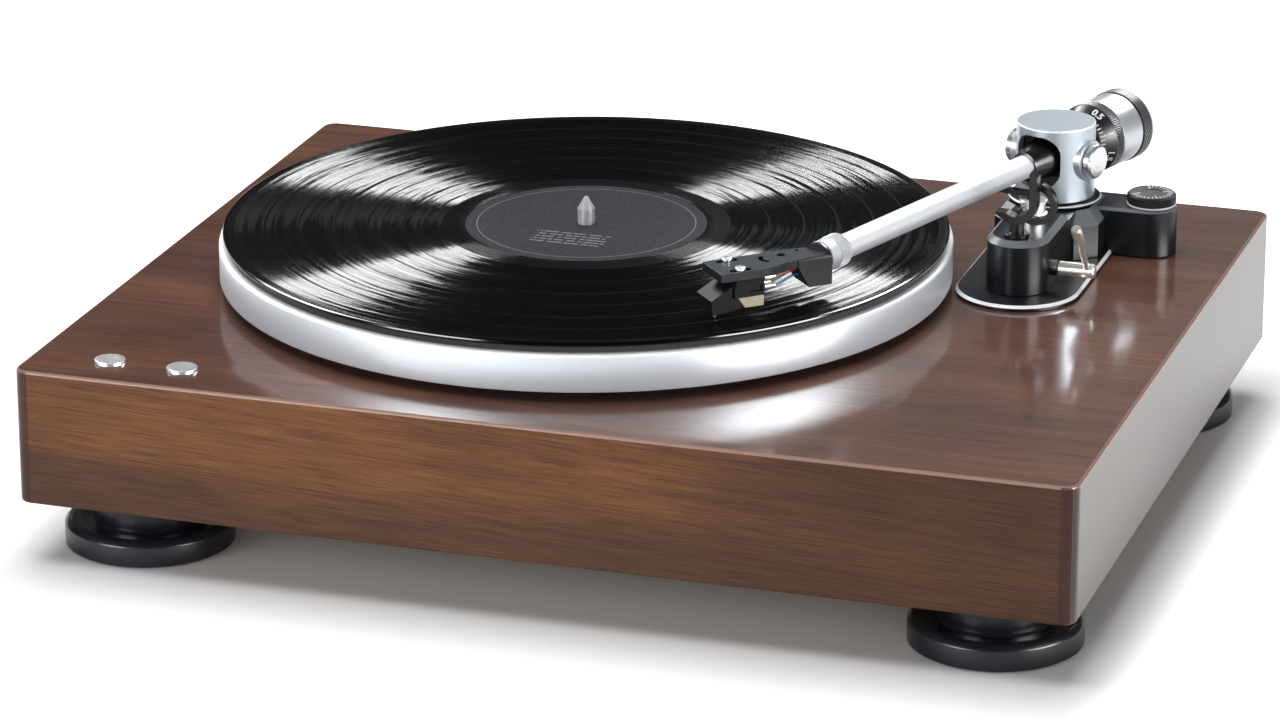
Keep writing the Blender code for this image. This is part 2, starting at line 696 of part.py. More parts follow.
def make_bearing_bush():
    """Flanged cup let into the plinth, in which the platter's shaft turns."""
    bore = SHAFT_RADIUS + SEAT_GAP
    outside = bore + BUSH_WALL
    floor = SHAFT_BOTTOM - SEAT_GAP
    profile = [
        (0, floor), (bore, floor), (bore, BUSH_TOP), (BUSH_FLANGE_RADIUS, BUSH_TOP),
        (BUSH_FLANGE_RADIUS, PLINTH_TOP + SEAT_GAP), (outside, PLINTH_TOP + SEAT_GAP),
        (outside, floor - BUSH_FLOOR), (0, floor - BUSH_FLOOR),
    ]
    return piece("bearing_bush", turned(profile, FINE_STEPS), "brass", place=(PLATTER_X, PLATTER_Y, 0))


def make_spindle(axis):
    """Steel shaft with the flange that carries the platter and the pin that centres the record."""
    top = RECORD_TOP + SPINDLE_RISE
    profile = [
        (0, top + SPINDLE_CONE), (SPINDLE_TIP_RADIUS, top + SPINDLE_CONE), (SPINDLE_RADIUS, top),
        (SPINDLE_RADIUS, FLANGE_TOP), (SPINDLE_FLANGE_RADIUS, FLANGE_TOP),
        (SPINDLE_FLANGE_RADIUS, FLANGE_BOTTOM), (SHAFT_RADIUS, FLANGE_BOTTOM),
        (SHAFT_RADIUS, SHAFT_BOTTOM), (0, SHAFT_BOTTOM),
    ]
    return piece("platter_spindle", turned(profile, SMALL_STEPS), "polished_metal", axis)


def make_platter(axis):
    """Cast platter: a deck with a deep skirt outside, and the belt's ring and a hub underneath."""
    bore = SPINDLE_RADIUS + SEAT_GAP
    ceiling = PLATTER_TOP - PLATTER_DECK
    inner_skirt = PLATTER_RADIUS - PLATTER_SKIRT
    ring_bottom = PLATTER_BOTTOM + PLATTER_EDGE
    profile = [
        (bore, PLATTER_TOP), (PLATTER_RADIUS - PLATTER_EDGE, PLATTER_TOP),
        (PLATTER_RADIUS, PLATTER_TOP - PLATTER_EDGE), (PLATTER_RADIUS, PLATTER_BOTTOM + PLATTER_EDGE),
        (PLATTER_RADIUS - PLATTER_EDGE, PLATTER_BOTTOM), (inner_skirt, PLATTER_BOTTOM),
        (inner_skirt, ceiling), (BELT_RING_RADIUS, ceiling), (BELT_RING_RADIUS, ring_bottom),
        (BELT_RING_RADIUS - BELT_RING_WALL, ring_bottom), (BELT_RING_RADIUS - BELT_RING_WALL, ceiling),
        (HUB_RADIUS, ceiling), (HUB_RADIUS, HUB_BOTTOM), (bore, HUB_BOTTOM),
    ]
    return piece("platter", turned(profile, LARGE_STEPS, closed=True), "satin_aluminium", axis)


def make_mat(axis):
    """Felt mat between the platter and the record."""
    bore = SPINDLE_RADIUS + SEAT_GAP
    profile = [
        (bore, MAT_BOTTOM), (MAT_RADIUS, MAT_BOTTOM), (MAT_RADIUS, MAT_BOTTOM + MAT_THICKNESS),
        (bore, MAT_BOTTOM + MAT_THICKNESS),
    ]
    return piece("platter_mat", turned(profile, LARGE_STEPS, closed=True), "felt", axis)


def make_record(axis):
    """Twelve-inch record with a raised rim, a sunk grooved band and a seat for its label."""
    bore = SPINDLE_RADIUS + SEAT_GAP
    middle = (RECORD_BOTTOM + RECORD_TOP) / 2
    groove = RECORD_TOP - RECORD_GROOVE_DEPTH
    seat = RECORD_TOP - LABEL_THICKNESS - SEAT_GAP
    edge = RECORD_THICKNESS / 3
    profile = [
        (bore, RECORD_BOTTOM), (RECORD_RADIUS - edge, RECORD_BOTTOM), (RECORD_RADIUS, middle),
        (RECORD_RADIUS - edge, RECORD_TOP), (RECORD_LAND_RADIUS, groove), (RECORD_GROOVE_INNER, groove),
        (LABEL_RADIUS + SEAT_GAP, RECORD_TOP), (LABEL_RADIUS + SEAT_GAP, seat), (bore, seat),
    ]
    return piece("record", turned(profile, LARGE_STEPS, closed=True), "vinyl", axis)


def make_label(axis):
    """Paper label pressed into the record."""
    bore = SPINDLE_RADIUS + SEAT_GAP
    profile = [
        (bore, RECORD_TOP - LABEL_THICKNESS), (LABEL_RADIUS, RECORD_TOP - LABEL_THICKNESS),
        (LABEL_RADIUS, RECORD_TOP), (bore, RECORD_TOP),
    ]
    return piece("record_label", turned(profile, MEDIUM_STEPS, closed=True), "label_paper", axis)


def make_motor():
    """Motor can with a bore for the pulley's shaft, hung under the deck by a flat bracket."""
    bore = PULLEY_SHAFT_RADIUS + SEAT_GAP
    edge = MOTOR_BRACKET_THICKNESS / 2
    bottom = MOTOR_TOP - MOTOR_HEIGHT
    profile = [
        (0, MOTOR_TOP - MOTOR_HEIGHT / 2), (bore, MOTOR_TOP - MOTOR_HEIGHT / 2), (bore, MOTOR_TOP),
        (MOTOR_RADIUS - edge, MOTOR_TOP), (MOTOR_RADIUS, MOTOR_TOP - edge), (MOTOR_RADIUS, bottom + edge),
        (MOTOR_RADIUS - edge, bottom), (0, bottom),
    ]
    place = (MOTOR_X, MOTOR_Y, 0)
    piece("motor", turned(profile, SMALL_STEPS), "satin_aluminium", place=place)
    outline = rectangle(MOTOR_BRACKET_LENGTH, MOTOR_BRACKET_WIDTH, MOTOR_BRACKET_WIDTH / 3)
    bracket = piece("motor_bracket", prism(outline, BRACKET_TOP - MOTOR_BRACKET_THICKNESS, BRACKET_TOP),
                    "satin_aluminium", place=place)
    cut(bracket, rod(PULLEY_RADIUS, BRACKET_TOP - MOTOR_BRACKET_THICKNESS - CUT_OVERRUN,
                     BRACKET_TOP + CUT_OVERRUN, FINE_STEPS))


def make_pulley(axis):
    """Flanged brass pulley on the motor's shaft."""
    half = BELT_WIDTH / 2 + SEAT_GAP
    low, high = BELT_LEVEL - half, BELT_LEVEL + half
    flange = PULLEY_RADIUS + BELT_THICKNESS
    shaft_bottom = MOTOR_TOP - MOTOR_HEIGHT / 2 + SEAT_GAP
    profile = [
        (0, high + PULLEY_FLANGE), (flange, high + PULLEY_FLANGE), (flange, high), (PULLEY_RADIUS, high),
        (PULLEY_RADIUS, low), (flange, low), (flange, low - PULLEY_FLANGE),
        (PULLEY_SHAFT_RADIUS, low - PULLEY_FLANGE), (PULLEY_SHAFT_RADIUS, shaft_bottom), (0, shaft_bottom),
    ]
    return piece("motor_pulley", turned(profile, FINE_STEPS), "brass", axis)


def belt_loop(spare):
    """Outline of the belt's run round the platter's ring and the pulley, this far outside both."""
    ring, pulley = BELT_RING_RADIUS + spare, PULLEY_RADIUS + spare
    lean = math.acos((ring - pulley) / MOTOR_DISTANCE)
    round_ring = arc((0, 0), ring, lean, 2 * math.pi - lean, MEDIUM_STEPS)
    round_pulley = arc((MOTOR_DISTANCE, 0), pulley, -lean, lean, FINE_STEPS)
    return round_ring + round_pulley


def make_belt():
    """Flat rubber belt from the pulley round the ring under the platter."""
    half = BELT_WIDTH / 2
    outer = prism(belt_loop(SEAT_GAP + BELT_THICKNESS), BELT_LEVEL - half, BELT_LEVEL + half)
    belt = piece("drive_belt", outer, "rubber", place=(PLATTER_X, PLATTER_Y, 0))
    belt.rotation_euler = (0, 0, MOTOR_BEARING_ANGLE)
    cut(belt, prism(belt_loop(SEAT_GAP), BELT_LEVEL - BELT_WIDTH, BELT_LEVEL + BELT_WIDTH))


def make_button(name, x):
    """Turned push button with a stem, sprung up in its hole in the plinth."""
    top = PLINTH_TOP + BUTTON_RISE
    edge = BUTTON_RISE / 4
    bottom = top - BUTTON_DEPTH
    profile = [
        (0, top - edge / 2), (BUTTON_RADIUS - 2 * edge, top), (BUTTON_RADIUS, top - edge),
        (BUTTON_RADIUS, bottom), (BUTTON_STEM_RADIUS, bottom),
        (BUTTON_STEM_RADIUS, bottom - BUTTON_STEM_LENGTH), (0, bottom - BUTTON_STEM_LENGTH),
    ]
    axis = axis_point(f"{name}_axis", (x, BUTTON_Y, 0))
    return piece(name, turned(profile, SMALL_STEPS), "satin_aluminium", axis)


def make_switch_board():
    """Small board hung under the deck with one switch below each push button."""
    stem_bottom = PLINTH_TOP + BUTTON_RISE - BUTTON_DEPTH - BUTTON_STEM_LENGTH
    switch_top = stem_bottom - BUTTON_TRAVEL - SEAT_GAP
    sheet_top = switch_top - SWITCH_SIZE[2]
    middle = sum(BUTTON_XS) / len(BUTTON_XS)
    half = (max(BUTTON_XS) - min(BUTTON_XS)) / 2
    reach = half + SWITCH_SIZE[0] / 2 + STANDOFF_RADIUS
    wall = -PLINTH_DEPTH / 2 + PLINTH_WALL - BUTTON_Y + SEAT_GAP
    depth = (SWITCH_SIZE[1] + 2 * STANDOFF_RADIUS, sheet_top - BOARD_SHEET)
    board = piece("switch_board", box((-reach, wall, depth[1]), (reach, wall + depth[0], sheet_top)),
                  "circuit_board", place=(middle, BUTTON_Y, 0))
    switches = []
    for side in (-half, half):
        low = (side - SWITCH_SIZE[0] / 2, wall + SEAT_GAP, sheet_top - UNION_OVERLAP)
        high = (side + SWITCH_SIZE[0] / 2, wall + SEAT_GAP + SWITCH_SIZE[1], switch_top)
        switches.append(box(low, high))
    switches.append(rod(STANDOFF_RADIUS, sheet_top - UNION_OVERLAP, CAVITY_CEILING - SEAT_GAP, FINE_STEPS,
                        0, wall + STANDOFF_RADIUS + SEAT_GAP))
    join(board, *switches)


def make_control_board():
    """Main circuit board, hung from the deck on posts behind the connectors."""
    width, depth = CONTROL_BOARD_WIDTH, CONTROL_BOARD_DEPTH
    level = CONNECTOR_LEVEL - CONTROL_BOARD_DROP
    x = PIVOT_X - VANE_RADIUS - CONTROL_BOARD_CLEARANCE - width / 2
    y = BACK_FACE - PLINTH_WALL - CONTROL_BOARD_SETBACK - depth / 2
    board = piece("control_board", box((-width / 2, -depth / 2, level), (width / 2, depth / 2,
                  level + BOARD_SHEET)), "circuit_board", place=(x, y, 0))
    top = level + BOARD_SHEET - UNION_OVERLAP
    inset = 2 * STANDOFF_RADIUS
    posts = [rod(STANDOFF_RADIUS, top, CAVITY_CEILING - SEAT_GAP, FINE_STEPS, side * (width / 2 - inset),
                 end * (depth / 2 - inset)) for side in (-1, 1) for end in (-1, 1)]
    parts = [rod(CAPACITOR_RADIUS, top, top + CAPACITOR_HEIGHT, FINE_STEPS, -width / 4, 0),
             box((0, -depth / 6, top), (width / 4, depth / 6, top + CHIP_HEIGHT))]
    join(board, *posts, *parts)


def jack_profile(bore_radius, bore_depth, length, pin_radius=0.0):
    """Profile of a panel socket: its bore, barrel, flange and tail, with a centre pin if it has one."""
    flange = PANEL_FRONT + SEAT_GAP
    front = flange + length
    floor = front - bore_depth
    start = [(0, floor)]
    if pin_radius:
        start = [(0, front - pin_radius), (pin_radius, front - pin_radius), (pin_radius, floor)]
    return start + [
        (bore_radius, floor), (bore_radius, front), (JACK_RADIUS, front),
        (JACK_RADIUS, flange + JACK_FLANGE_THICKNESS), (JACK_FLANGE_RADIUS, flange + JACK_FLANGE_THICKNESS),
        (JACK_FLANGE_RADIUS, flange), (JACK_TAIL_RADIUS, flange), (JACK_TAIL_RADIUS, flange - JACK_TAIL_LENGTH),
        (0, flange - JACK_TAIL_LENGTH),
    ]


def make_connectors():
    """Panel behind the back wall's window with two signal sockets, an earth post and a power inlet."""
    right = RECESS_WIDTH / 2 + PANEL_LAP
    bottom, top = -RECESS_HEIGHT / 2 - PANEL_LAP, CONNECTOR_DROP - SEAT_GAP
    outline = [(-right, bottom), (right, bottom), (right, top), (-right, top)]
    panel = piece("connector_panel", placed(prism(outline, -PANEL_FRONT, -PANEL_BACK), FORWARD),
                  "black_plastic", place=(CONNECTOR_X, 0, CONNECTOR_LEVEL))
    left_jack, right_jack = -2 * JACK_SPACING, -JACK_SPACING
    earth, inlet = 0.0, INLET_OFFSET - JACK_SPACING / 2
    holes = [placed(rod(JACK_TAIL_RADIUS + SEAT_GAP, PANEL_BACK - CUT_OVERRUN, PANEL_FRONT + CUT_OVERRUN,
                        FINE_STEPS), Matrix.Translation((x, 0, 0)) @ BACKWARD)
             for x in (left_jack, right_jack, earth, inlet)]
    cut(panel, *holes)
    for name, x in (("signal_jack_left", left_jack), ("signal_jack_right", right_jack)):
        jack = turned(jack_profile(JACK_BORE_RADIUS, JACK_LENGTH - JACK_FLANGE_THICKNESS, JACK_LENGTH),
                      FINE_STEPS)
        piece(name, placed(jack, BACKWARD), "brass", place=(CONNECTOR_X + x, 0, CONNECTOR_LEVEL))
    socket = turned(jack_profile(INLET_BORE_RADIUS, JACK_LENGTH / 2 + JACK_TAIL_LENGTH / 2,
                                 JACK_FLANGE_THICKNESS * 2, INLET_PIN_RADIUS), FINE_STEPS)
    piece("power_inlet", placed(socket, BACKWARD), "black_plastic",
          place=(CONNECTOR_X + inlet, 0, CONNECTOR_LEVEL))
    flange = PANEL_FRONT + SEAT_GAP
    stud = [
        (0, flange + GROUND_STUD_LENGTH), (GROUND_STUD_RADIUS, flange + GROUND_STUD_LENGTH),
        (GROUND_STUD_RADIUS, flange + JACK_FLANGE_THICKNESS),
        (JACK_FLANGE_RADIUS, flange + JACK_FLANGE_THICKNESS), (JACK_FLANGE_RADIUS, flange),
        (JACK_TAIL_RADIUS, flange), (JACK_TAIL_RADIUS, flange - JACK_TAIL_LENGTH),
        (0, flange - JACK_TAIL_LENGTH),
    ]
    earth_place = (CONNECTOR_X + earth, 0, CONNECTOR_LEVEL)
    piece("earth_post", placed(turned(stud, FINE_STEPS), BACKWARD), "brass", place=earth_place)
    bore = GROUND_STUD_RADIUS + SEAT_GAP
    seat = flange + JACK_FLANGE_THICKNESS + SEAT_GAP
    nut = [
        (bore, seat), (GROUND_NUT_RADIUS, seat), (GROUND_NUT_RADIUS, seat + GROUND_NUT_LENGTH),
        (bore, seat + GROUND_NUT_LENGTH),
    ]
    shape = rib(turned(nut, 2 * GROUND_RIBS, closed=True), GROUND_RIBS, seat, seat + GROUND_NUT_LENGTH,
                GROUND_NUT_RADIUS / 2, RIB_DEPTH)
    piece("earth_nut", placed(shape, BACKWARD), "brass", axis_point("earth_nut_axis", earth_place))


def base_outline(half_width, front, rear, corner):
    """Outline about the pivot with a half-round front and rounded back corners."""
    nose = arc((0, half_width - front), half_width, math.pi, 2 * math.pi, MEDIUM_STEPS // 2)
    back = arc((half_width - corner, rear - corner), corner, 0, math.pi / 2, CORNER_STEPS)
    back += arc((corner - half_width, rear - corner), corner, math.pi / 2, math.pi, CORNER_STEPS)
    return nose + back


def make_base_plate(axis):
    """Black plate with a bright chamfer, on which the arm's base casting stands."""
    shape = prism(base_outline(BASE_HALF_WIDTH, BASE_FRONT + BASE_HALF_WIDTH, BASE_REAR, BASE_CORNER),
                  BASE_BOTTOM, BASE_TOP)
    bevel_rim(shape, BASE_TOP, BASE_EDGE)
    plate = piece("arm_base_plate", shape, "black_metal", axis)
    cut(plate, rod(ARM_SHAFT_HEAD_RADIUS, BASE_BOTTOM - CUT_OVERRUN, BASE_TOP + CUT_OVERRUN, SMALL_STEPS))


def body_outline(half_width, corner_cut):
    """Square about the pivot with its corners cut off."""
    near = half_width - corner_cut
    return [(-near, -half_width), (near, -half_width), (half_width, -near), (half_width, near),
            (near, half_width), (-near, half_width), (-half_width, near), (-half_width, -near)]


def make_base_casting(axis):
    """Cast base: a square body with a tapered shoulder, a long round-nosed lobe and an outrigger."""
    body = prism(body_outline(BODY_HALF_WIDTH, BODY_CORNER_CUT), BLOCK_BOTTOM, BODY_SHOULDER)
    roof = max(body.faces, key=lambda face: face.calc_center_median().z)
    grown = bmesh.ops.extrude_face_region(body, geom=[roof])
    bmesh.ops.delete(body, geom=[roof], context="FACES_ONLY")
    lifted = [item for item in grown["geom"] if isinstance(item, bmesh.types.BMVert)]
    narrow = (BODY_HALF_WIDTH - BODY_TAPER) / BODY_HALF_WIDTH
    bmesh.ops.scale(body, verts=lifted, vec=(narrow, narrow, 1))
    bmesh.ops.translate(body, verts=lifted, vec=(0, 0, BODY_TOP - BODY_SHOULDER))
    casting = piece("arm_base_casting", tidy(body), "black_metal", axis)
    lobe = prism(base_outline(LOBE_HALF_WIDTH, LOBE_FRONT + LOBE_HALF_WIDTH, 0, 0.0), BLOCK_BOTTOM, LOBE_TOP)
    bevel_rim(lobe, LOBE_TOP, LOBE_CHAMFER)
    join(casting, lobe)
    cut(casting, rod(LOBE_STEP_RADIUS, BODY_TOP, LOBE_TOP + CUT_OVERRUN, MEDIUM_STEPS))
    end = (RIGGER_X, RIGGER_Y)
    run = arc(end, RIGGER_RADIUS, -math.pi / 2, math.pi / 2, MEDIUM_STEPS // 2)
    run += [(0, RIGGER_Y + RIGGER_RADIUS), (0, RIGGER_Y - RIGGER_RADIUS)]
    rigger = prism(run, PLINTH_TOP + RIGGER_DROP, RIGGER_TOP)
    bevel_rim(rigger, RIGGER_TOP, RIGGER_CHAMFER)
    join(casting, rigger)
    envelope = prism(base_outline(BASE_HALF_WIDTH + SEAT_GAP, BASE_FRONT + BASE_HALF_WIDTH, BASE_REAR,
                                  BASE_CORNER), PLINTH_TOP - CUT_OVERRUN, BLOCK_BOTTOM)
    cut(casting, envelope)
    boss = placed(rod(CUE_BOSS_RADIUS, CUE_WALL - UNION_OVERLAP, CUE_WALL + CUE_BOSS_LENGTH, SMALL_STEPS),
                  Matrix.Translation((0, CUE_Y, CUE_HEIGHT)) @ RIGHTWARD)
    join(casting, boss)
    pocket_half = LOBE_HALF_WIDTH - CAST_WALL
    pocket = box((-pocket_half, CUE_Y - CUE_CAM_RADIUS - LIFT_TRAVEL - SEAT_GAP, BLOCK_BOTTOM - CUT_OVERRUN),
                 (pocket_half, -ARM_SHAFT_HEAD_RADIUS - CAST_WALL, BODY_SHOULDER + LIFT_TRAVEL * 2))
    cut(casting, pocket, rod(ARM_SHAFT_RADIUS + SEAT_GAP, BLOCK_BOTTOM - CUT_OVERRUN,
                             BODY_TOP + CUT_OVERRUN, SMALL_STEPS))
    axle_bore = placed(rod(CUE_AXLE_RADIUS + SEAT_GAP, pocket_half - CUT_OVERRUN,
                           CUE_WALL + CUE_BOSS_LENGTH + CUT_OVERRUN, FINE_STEPS),
                       Matrix.Translation((0, CUE_Y, CUE_HEIGHT)) @ RIGHTWARD)
    piston_bore = rod(LIFT_PISTON_RADIUS + SEAT_GAP, BODY_SHOULDER, LOBE_TOP + CUT_OVERRUN, FINE_STEPS,
                      REST_X, -LIFT_RADIUS)
    knob_bore = rod(KNOB_SHAFT_RADIUS + SEAT_GAP, RIGGER_TOP - KNOB_SHAFT_LENGTH - SEAT_GAP,
                    RIGGER_TOP + CUT_OVERRUN, FINE_STEPS, RIGGER_X, RIGGER_Y)
    cut(casting, axle_bore, piston_bore, knob_bore)


def make_pivot_collar(axis):
    """Turned ring on top of the casting, under the bearing housing."""
    bore = ARM_SHAFT_RADIUS + SEAT_GAP
    top = COLLAR_BOTTOM + COLLAR_THICKNESS
    profile = [
        (bore, COLLAR_BOTTOM), (COLLAR_RADIUS - COLLAR_CHAMFER, COLLAR_BOTTOM),
        (COLLAR_RADIUS, COLLAR_BOTTOM + COLLAR_CHAMFER), (COLLAR_RADIUS, top - COLLAR_CHAMFER),
        (COLLAR_RADIUS - COLLAR_CHAMFER, top), (bore, top),
    ]
    ring = piece("pivot_collar", turned(profile, MEDIUM_STEPS, closed=True), "black_metal", axis)
    lobe_back = box((-LOBE_HALF_WIDTH, -LOBE_FRONT, COLLAR_BOTTOM - CUT_OVERRUN),
                    (LOBE_HALF_WIDTH, -LOBE_STEP_RADIUS + SEAT_GAP, top + CUT_OVERRUN))
    cut(ring, lobe_back)


def make_anti_skate_knob(axis):
    """Ribbed dial on the outrigger with its shaft down into the casting."""
    low = RIGGER_TOP + SEAT_GAP
    band = low + KNOB_SKIRT
    top = low + KNOB_SKIRT + KNOB_HEIGHT
    edge = KNOB_SKIRT
    profile = [
        (0, top), (KNOB_RADIUS - 2 * edge, top), (KNOB_RADIUS, top - edge), (KNOB_RADIUS, band),
        (KNOB_RADIUS, low), (KNOB_SHAFT_RADIUS, low), (KNOB_SHAFT_RADIUS, low - KNOB_SHAFT_LENGTH),
        (0, low - KNOB_SHAFT_LENGTH),
    ]
    shape = turned(profile, 2 * KNOB_RIBS)
    rib(shape, KNOB_RIBS, band, top - edge, KNOB_RADIUS - edge, KNOB_RIB_DEPTH)
    knob_axis = axis_point("anti_skate_axis", (RIGGER_X, RIGGER_Y, 0), axis)
    piece("anti_skate_knob", shape, "black_plastic", knob_axis)


def cradle_outline():
    """Hooked cradle seen from the front: a low lip, a round seat and a tall prong on the right."""
    seat = arc((0, 0), CRADLE_RADIUS, CRADLE_LIP_ANGLE, 2 * math.pi, FINE_STEPS)
    prong = [(CRADLE_RADIUS, PRONG_TOP - CRADLE_CENTRE_HEIGHT),
             (CRADLE_RADIUS + CRADLE_WALL, PRONG_TOP - PRONG_SLOPE - CRADLE_CENTRE_HEIGHT)]
    outside = arc((0, 0), CRADLE_RADIUS + CRADLE_WALL, 2 * math.pi, CRADLE_LIP_ANGLE, FINE_STEPS)
    tip = [(-CRADLE_TIP_REACH, CRADLE_RADIUS * math.sin(CRADLE_LIP_ANGLE))]
    return seat + prong + outside + tip


def make_arm_rest(axis):
    """Post with a flange and a hooked cradle that holds the parked arm."""
    flange_top = LOBE_TOP + SEAT_GAP + REST_FLANGE_THICKNESS
    post_top = CRADLE_BOTTOM + CRADLE_WALL / 2
    profile = [
        (0, LOBE_TOP + SEAT_GAP), (REST_FLANGE_RADIUS, LOBE_TOP + SEAT_GAP), (REST_FLANGE_RADIUS, flange_top),
        (REST_POST_RADIUS, flange_top), (REST_POST_RADIUS, post_top), (0, post_top),
    ]
    rest = piece("arm_rest", turned(profile, SMALL_STEPS), "black_plastic", axis, (REST_X, REST_Y, 0))
    cradle = placed(prism(cradle_outline(), -CRADLE_LENGTH / 2, CRADLE_LENGTH / 2),
                    Matrix.Translation((0, 0, CRADLE_CENTRE_HEIGHT)) @ FORWARD)
    join(rest, cradle)


def make_rest_clip(axis):
    """Curved clip behind the cradle, hinged at its foot, that swings over the parked arm."""
    centre = (REST_X + CLIP_OFFSET[0], CRADLE_CENTRE_HEIGHT + CLIP_OFFSET[1])
    middle = (CLIP_OUTER_RADIUS + CLIP_INNER_RADIUS) / 2
    hinge = (centre[0] + middle * math.cos(CLIP_START_ANGLE), centre[1] + middle * math.sin(CLIP_START_ANGLE))
    y = REST_Y + CRADLE_LENGTH / 2 + SEAT_GAP + CLIP_LENGTH / 2
    clip_axis = axis_point("rest_clip_axis", (hinge[0], y, hinge[1]), axis)
    hub_to_centre = (centre[0] - hinge[0], centre[1] - hinge[1])
    outer = arc(hub_to_centre, CLIP_OUTER_RADIUS, CLIP_START_ANGLE, CLIP_END_ANGLE, SMALL_STEPS)
    inner = arc(hub_to_centre, CLIP_INNER_RADIUS, CLIP_END_ANGLE, CLIP_START_ANGLE, SMALL_STEPS)
    hook = placed(prism(outer + inner, -CLIP_LENGTH / 2, CLIP_LENGTH / 2), FORWARD)
    clip = piece("rest_clip", hook, "black_plastic", clip_axis)
    join(clip, placed(rod(CLIP_HUB_RADIUS, -CLIP_LENGTH / 2, CLIP_LENGTH / 2, FINE_STEPS), FORWARD))


def make_lift(axis):
    """Polished barrel of the cueing lift, and the piston with its curved bar under the arm."""
    bore = LIFT_PISTON_RADIUS + SEAT_GAP
    low = LOBE_TOP + SEAT_GAP
    high = low + LIFT_BARREL_HEIGHT
    profile = [(bore, low), (LIFT_BARREL_RADIUS, low), (LIFT_BARREL_RADIUS, high - KNOB_SKIRT),
               (LIFT_BARREL_RADIUS - KNOB_SKIRT, high), (bore, high)]
    place = (REST_X, -LIFT_RADIUS, 0)
    piece("lift_barrel", turned(profile, SMALL_STEPS, closed=True), "polished_metal", axis, place)
    front = -math.pi / 2
    start, end = front - LIFT_BAR_INNER_ANGLE, front + LIFT_BAR_OUTER_ANGLE
    outer = arc((0, 0), LIFT_RADIUS + LIFT_BAR_WIDTH / 2, start, end, SMALL_STEPS)
    inner = arc((0, 0), LIFT_RADIUS - LIFT_BAR_WIDTH / 2, end, start, SMALL_STEPS)
    bar = piece("lift_bar", prism(outer + inner, LIFT_BAR_BOTTOM, LIFT_BAR_TOP), "black_metal", axis)
    piston = rod(LIFT_PISTON_RADIUS, LIFT_FOOT_BOTTOM + LIFT_FOOT_THICKNESS - UNION_OVERLAP,
                 LIFT_BAR_TOP - SEAT_GAP, FINE_STEPS, REST_X, -LIFT_RADIUS)
    join(bar, piston)
    foot = box((REST_X - LIFT_FOOT_WIDTH / 2, CUE_Y - CUE_CAM_RADIUS, LIFT_FOOT_BOTTOM),
               (REST_X + LIFT_FOOT_WIDTH / 2, -LIFT_RADIUS + LIFT_PISTON_RADIUS,
                LIFT_FOOT_BOTTOM + LIFT_FOOT_THICKNESS))
    join(bar, foot)


def cam_outline():
    """Snail cam: its radius grows by the lift's travel over the lever's swing."""
    growth = LIFT_TRAVEL / CUE_SWING
    top = math.pi / 2
    rise = [top + CUE_SWING * step / FINE_STEPS for step in range(FINE_STEPS + 1)]
    points = [((CUE_CAM_RADIUS + growth * (turn - top)) * math.cos(turn),
               (CUE_CAM_RADIUS + growth * (turn - top)) * math.sin(turn)) for turn in rise]
    rest = arc((0, 0), CUE_CAM_RADIUS, top + 2 * CUE_SWING, top + 2 * math.pi, SMALL_STEPS)
    return points + rest[:-1]


def make_cue_lever(axis):
    """Cueing lever: a thick shaft out of the casting's side with a slim rod and grip, and its cam."""
    lever_axis = axis_point("cue_lever_axis", (0, CUE_Y, CUE_HEIGHT), axis)
    far = CUE_AXLE_FRONT + CUE_LENGTH
    edge = KNOB_SKIRT
    profile = [
        (0, far), (CUE_RADIUS - edge, far), (CUE_RADIUS, far - edge), (CUE_RADIUS, CUE_AXLE_FRONT),
        (CUE_AXLE_RADIUS, CUE_AXLE_FRONT), (CUE_AXLE_RADIUS, CUE_AXLE_FRONT - CUE_AXLE_LENGTH),
        (0, CUE_AXLE_FRONT - CUE_AXLE_LENGTH),
    ]
    shaft = piece("cue_shaft", placed(turned(profile, SMALL_STEPS), RIGHTWARD), "satin_aluminium", lever_axis)
    cam = placed(prism(cam_outline(), -CUE_CAM_WIDTH / 2, CUE_CAM_WIDTH / 2),
                 Matrix.Translation((REST_X, 0, 0)) @ Matrix.Rotation(math.radians(90), 4, "Z") @ FORWARD)
    join(shaft, cam)
    start = CUE_RADIUS + SEAT_GAP
    neck = start + CUE_ROD_LENGTH
    top = neck + CUE_GRIP_LENGTH
    lean = CUE_ROD_RADIUS
    profile = [
        (0, start), (CUE_ROD_RADIUS, start), (CUE_ROD_RADIUS, neck), (CUE_GRIP_RADIUS - lean / 3, neck + lean),
        (CUE_GRIP_RADIUS, top - CUE_GRIP_RADIUS / 2), (CUE_GRIP_RADIUS * 2 / 3, top), (0, top),
    ]
    turn = Matrix.Translation((far - CUE_ROD_INSET, 0, 0)) @ Matrix.Rotation(CUE_TILT, 4, "X")
    piece("cue_grip", placed(turned(profile, SMALL_STEPS), turn), "polished_metal", lever_axis)


def make_arm_shaft(yaw_axis):
    """Upright shaft on which the arm swings, with the vane that tells the motor to stop."""
    floor = -HOUSING_LOW + HOUSING_FLOOR + SEAT_GAP
    bottom = ARM_SHAFT_BOTTOM - ARM_HEIGHT
    profile = [
        (0, floor + ARM_SHAFT_HEAD), (ARM_SHAFT_HEAD_RADIUS, floor + ARM_SHAFT_HEAD),
        (ARM_SHAFT_HEAD_RADIUS, floor), (ARM_SHAFT_RADIUS, floor), (ARM_SHAFT_RADIUS, bottom), (0, bottom),
    ]
    shaft = piece("arm_shaft", turned(profile, SMALL_STEPS), "polished_metal", yaw_axis)
    level = VANE_LEVEL - ARM_HEIGHT
    back = math.pi / 2 + ARM_YAW
    vane = [(0, 0)] + arc((0, 0), VANE_RADIUS, back - VANE_HALF_ANGLE, back + VANE_HALF_ANGLE, FINE_STEPS)
    join(shaft, prism(vane, level, level + VANE_THICKNESS))


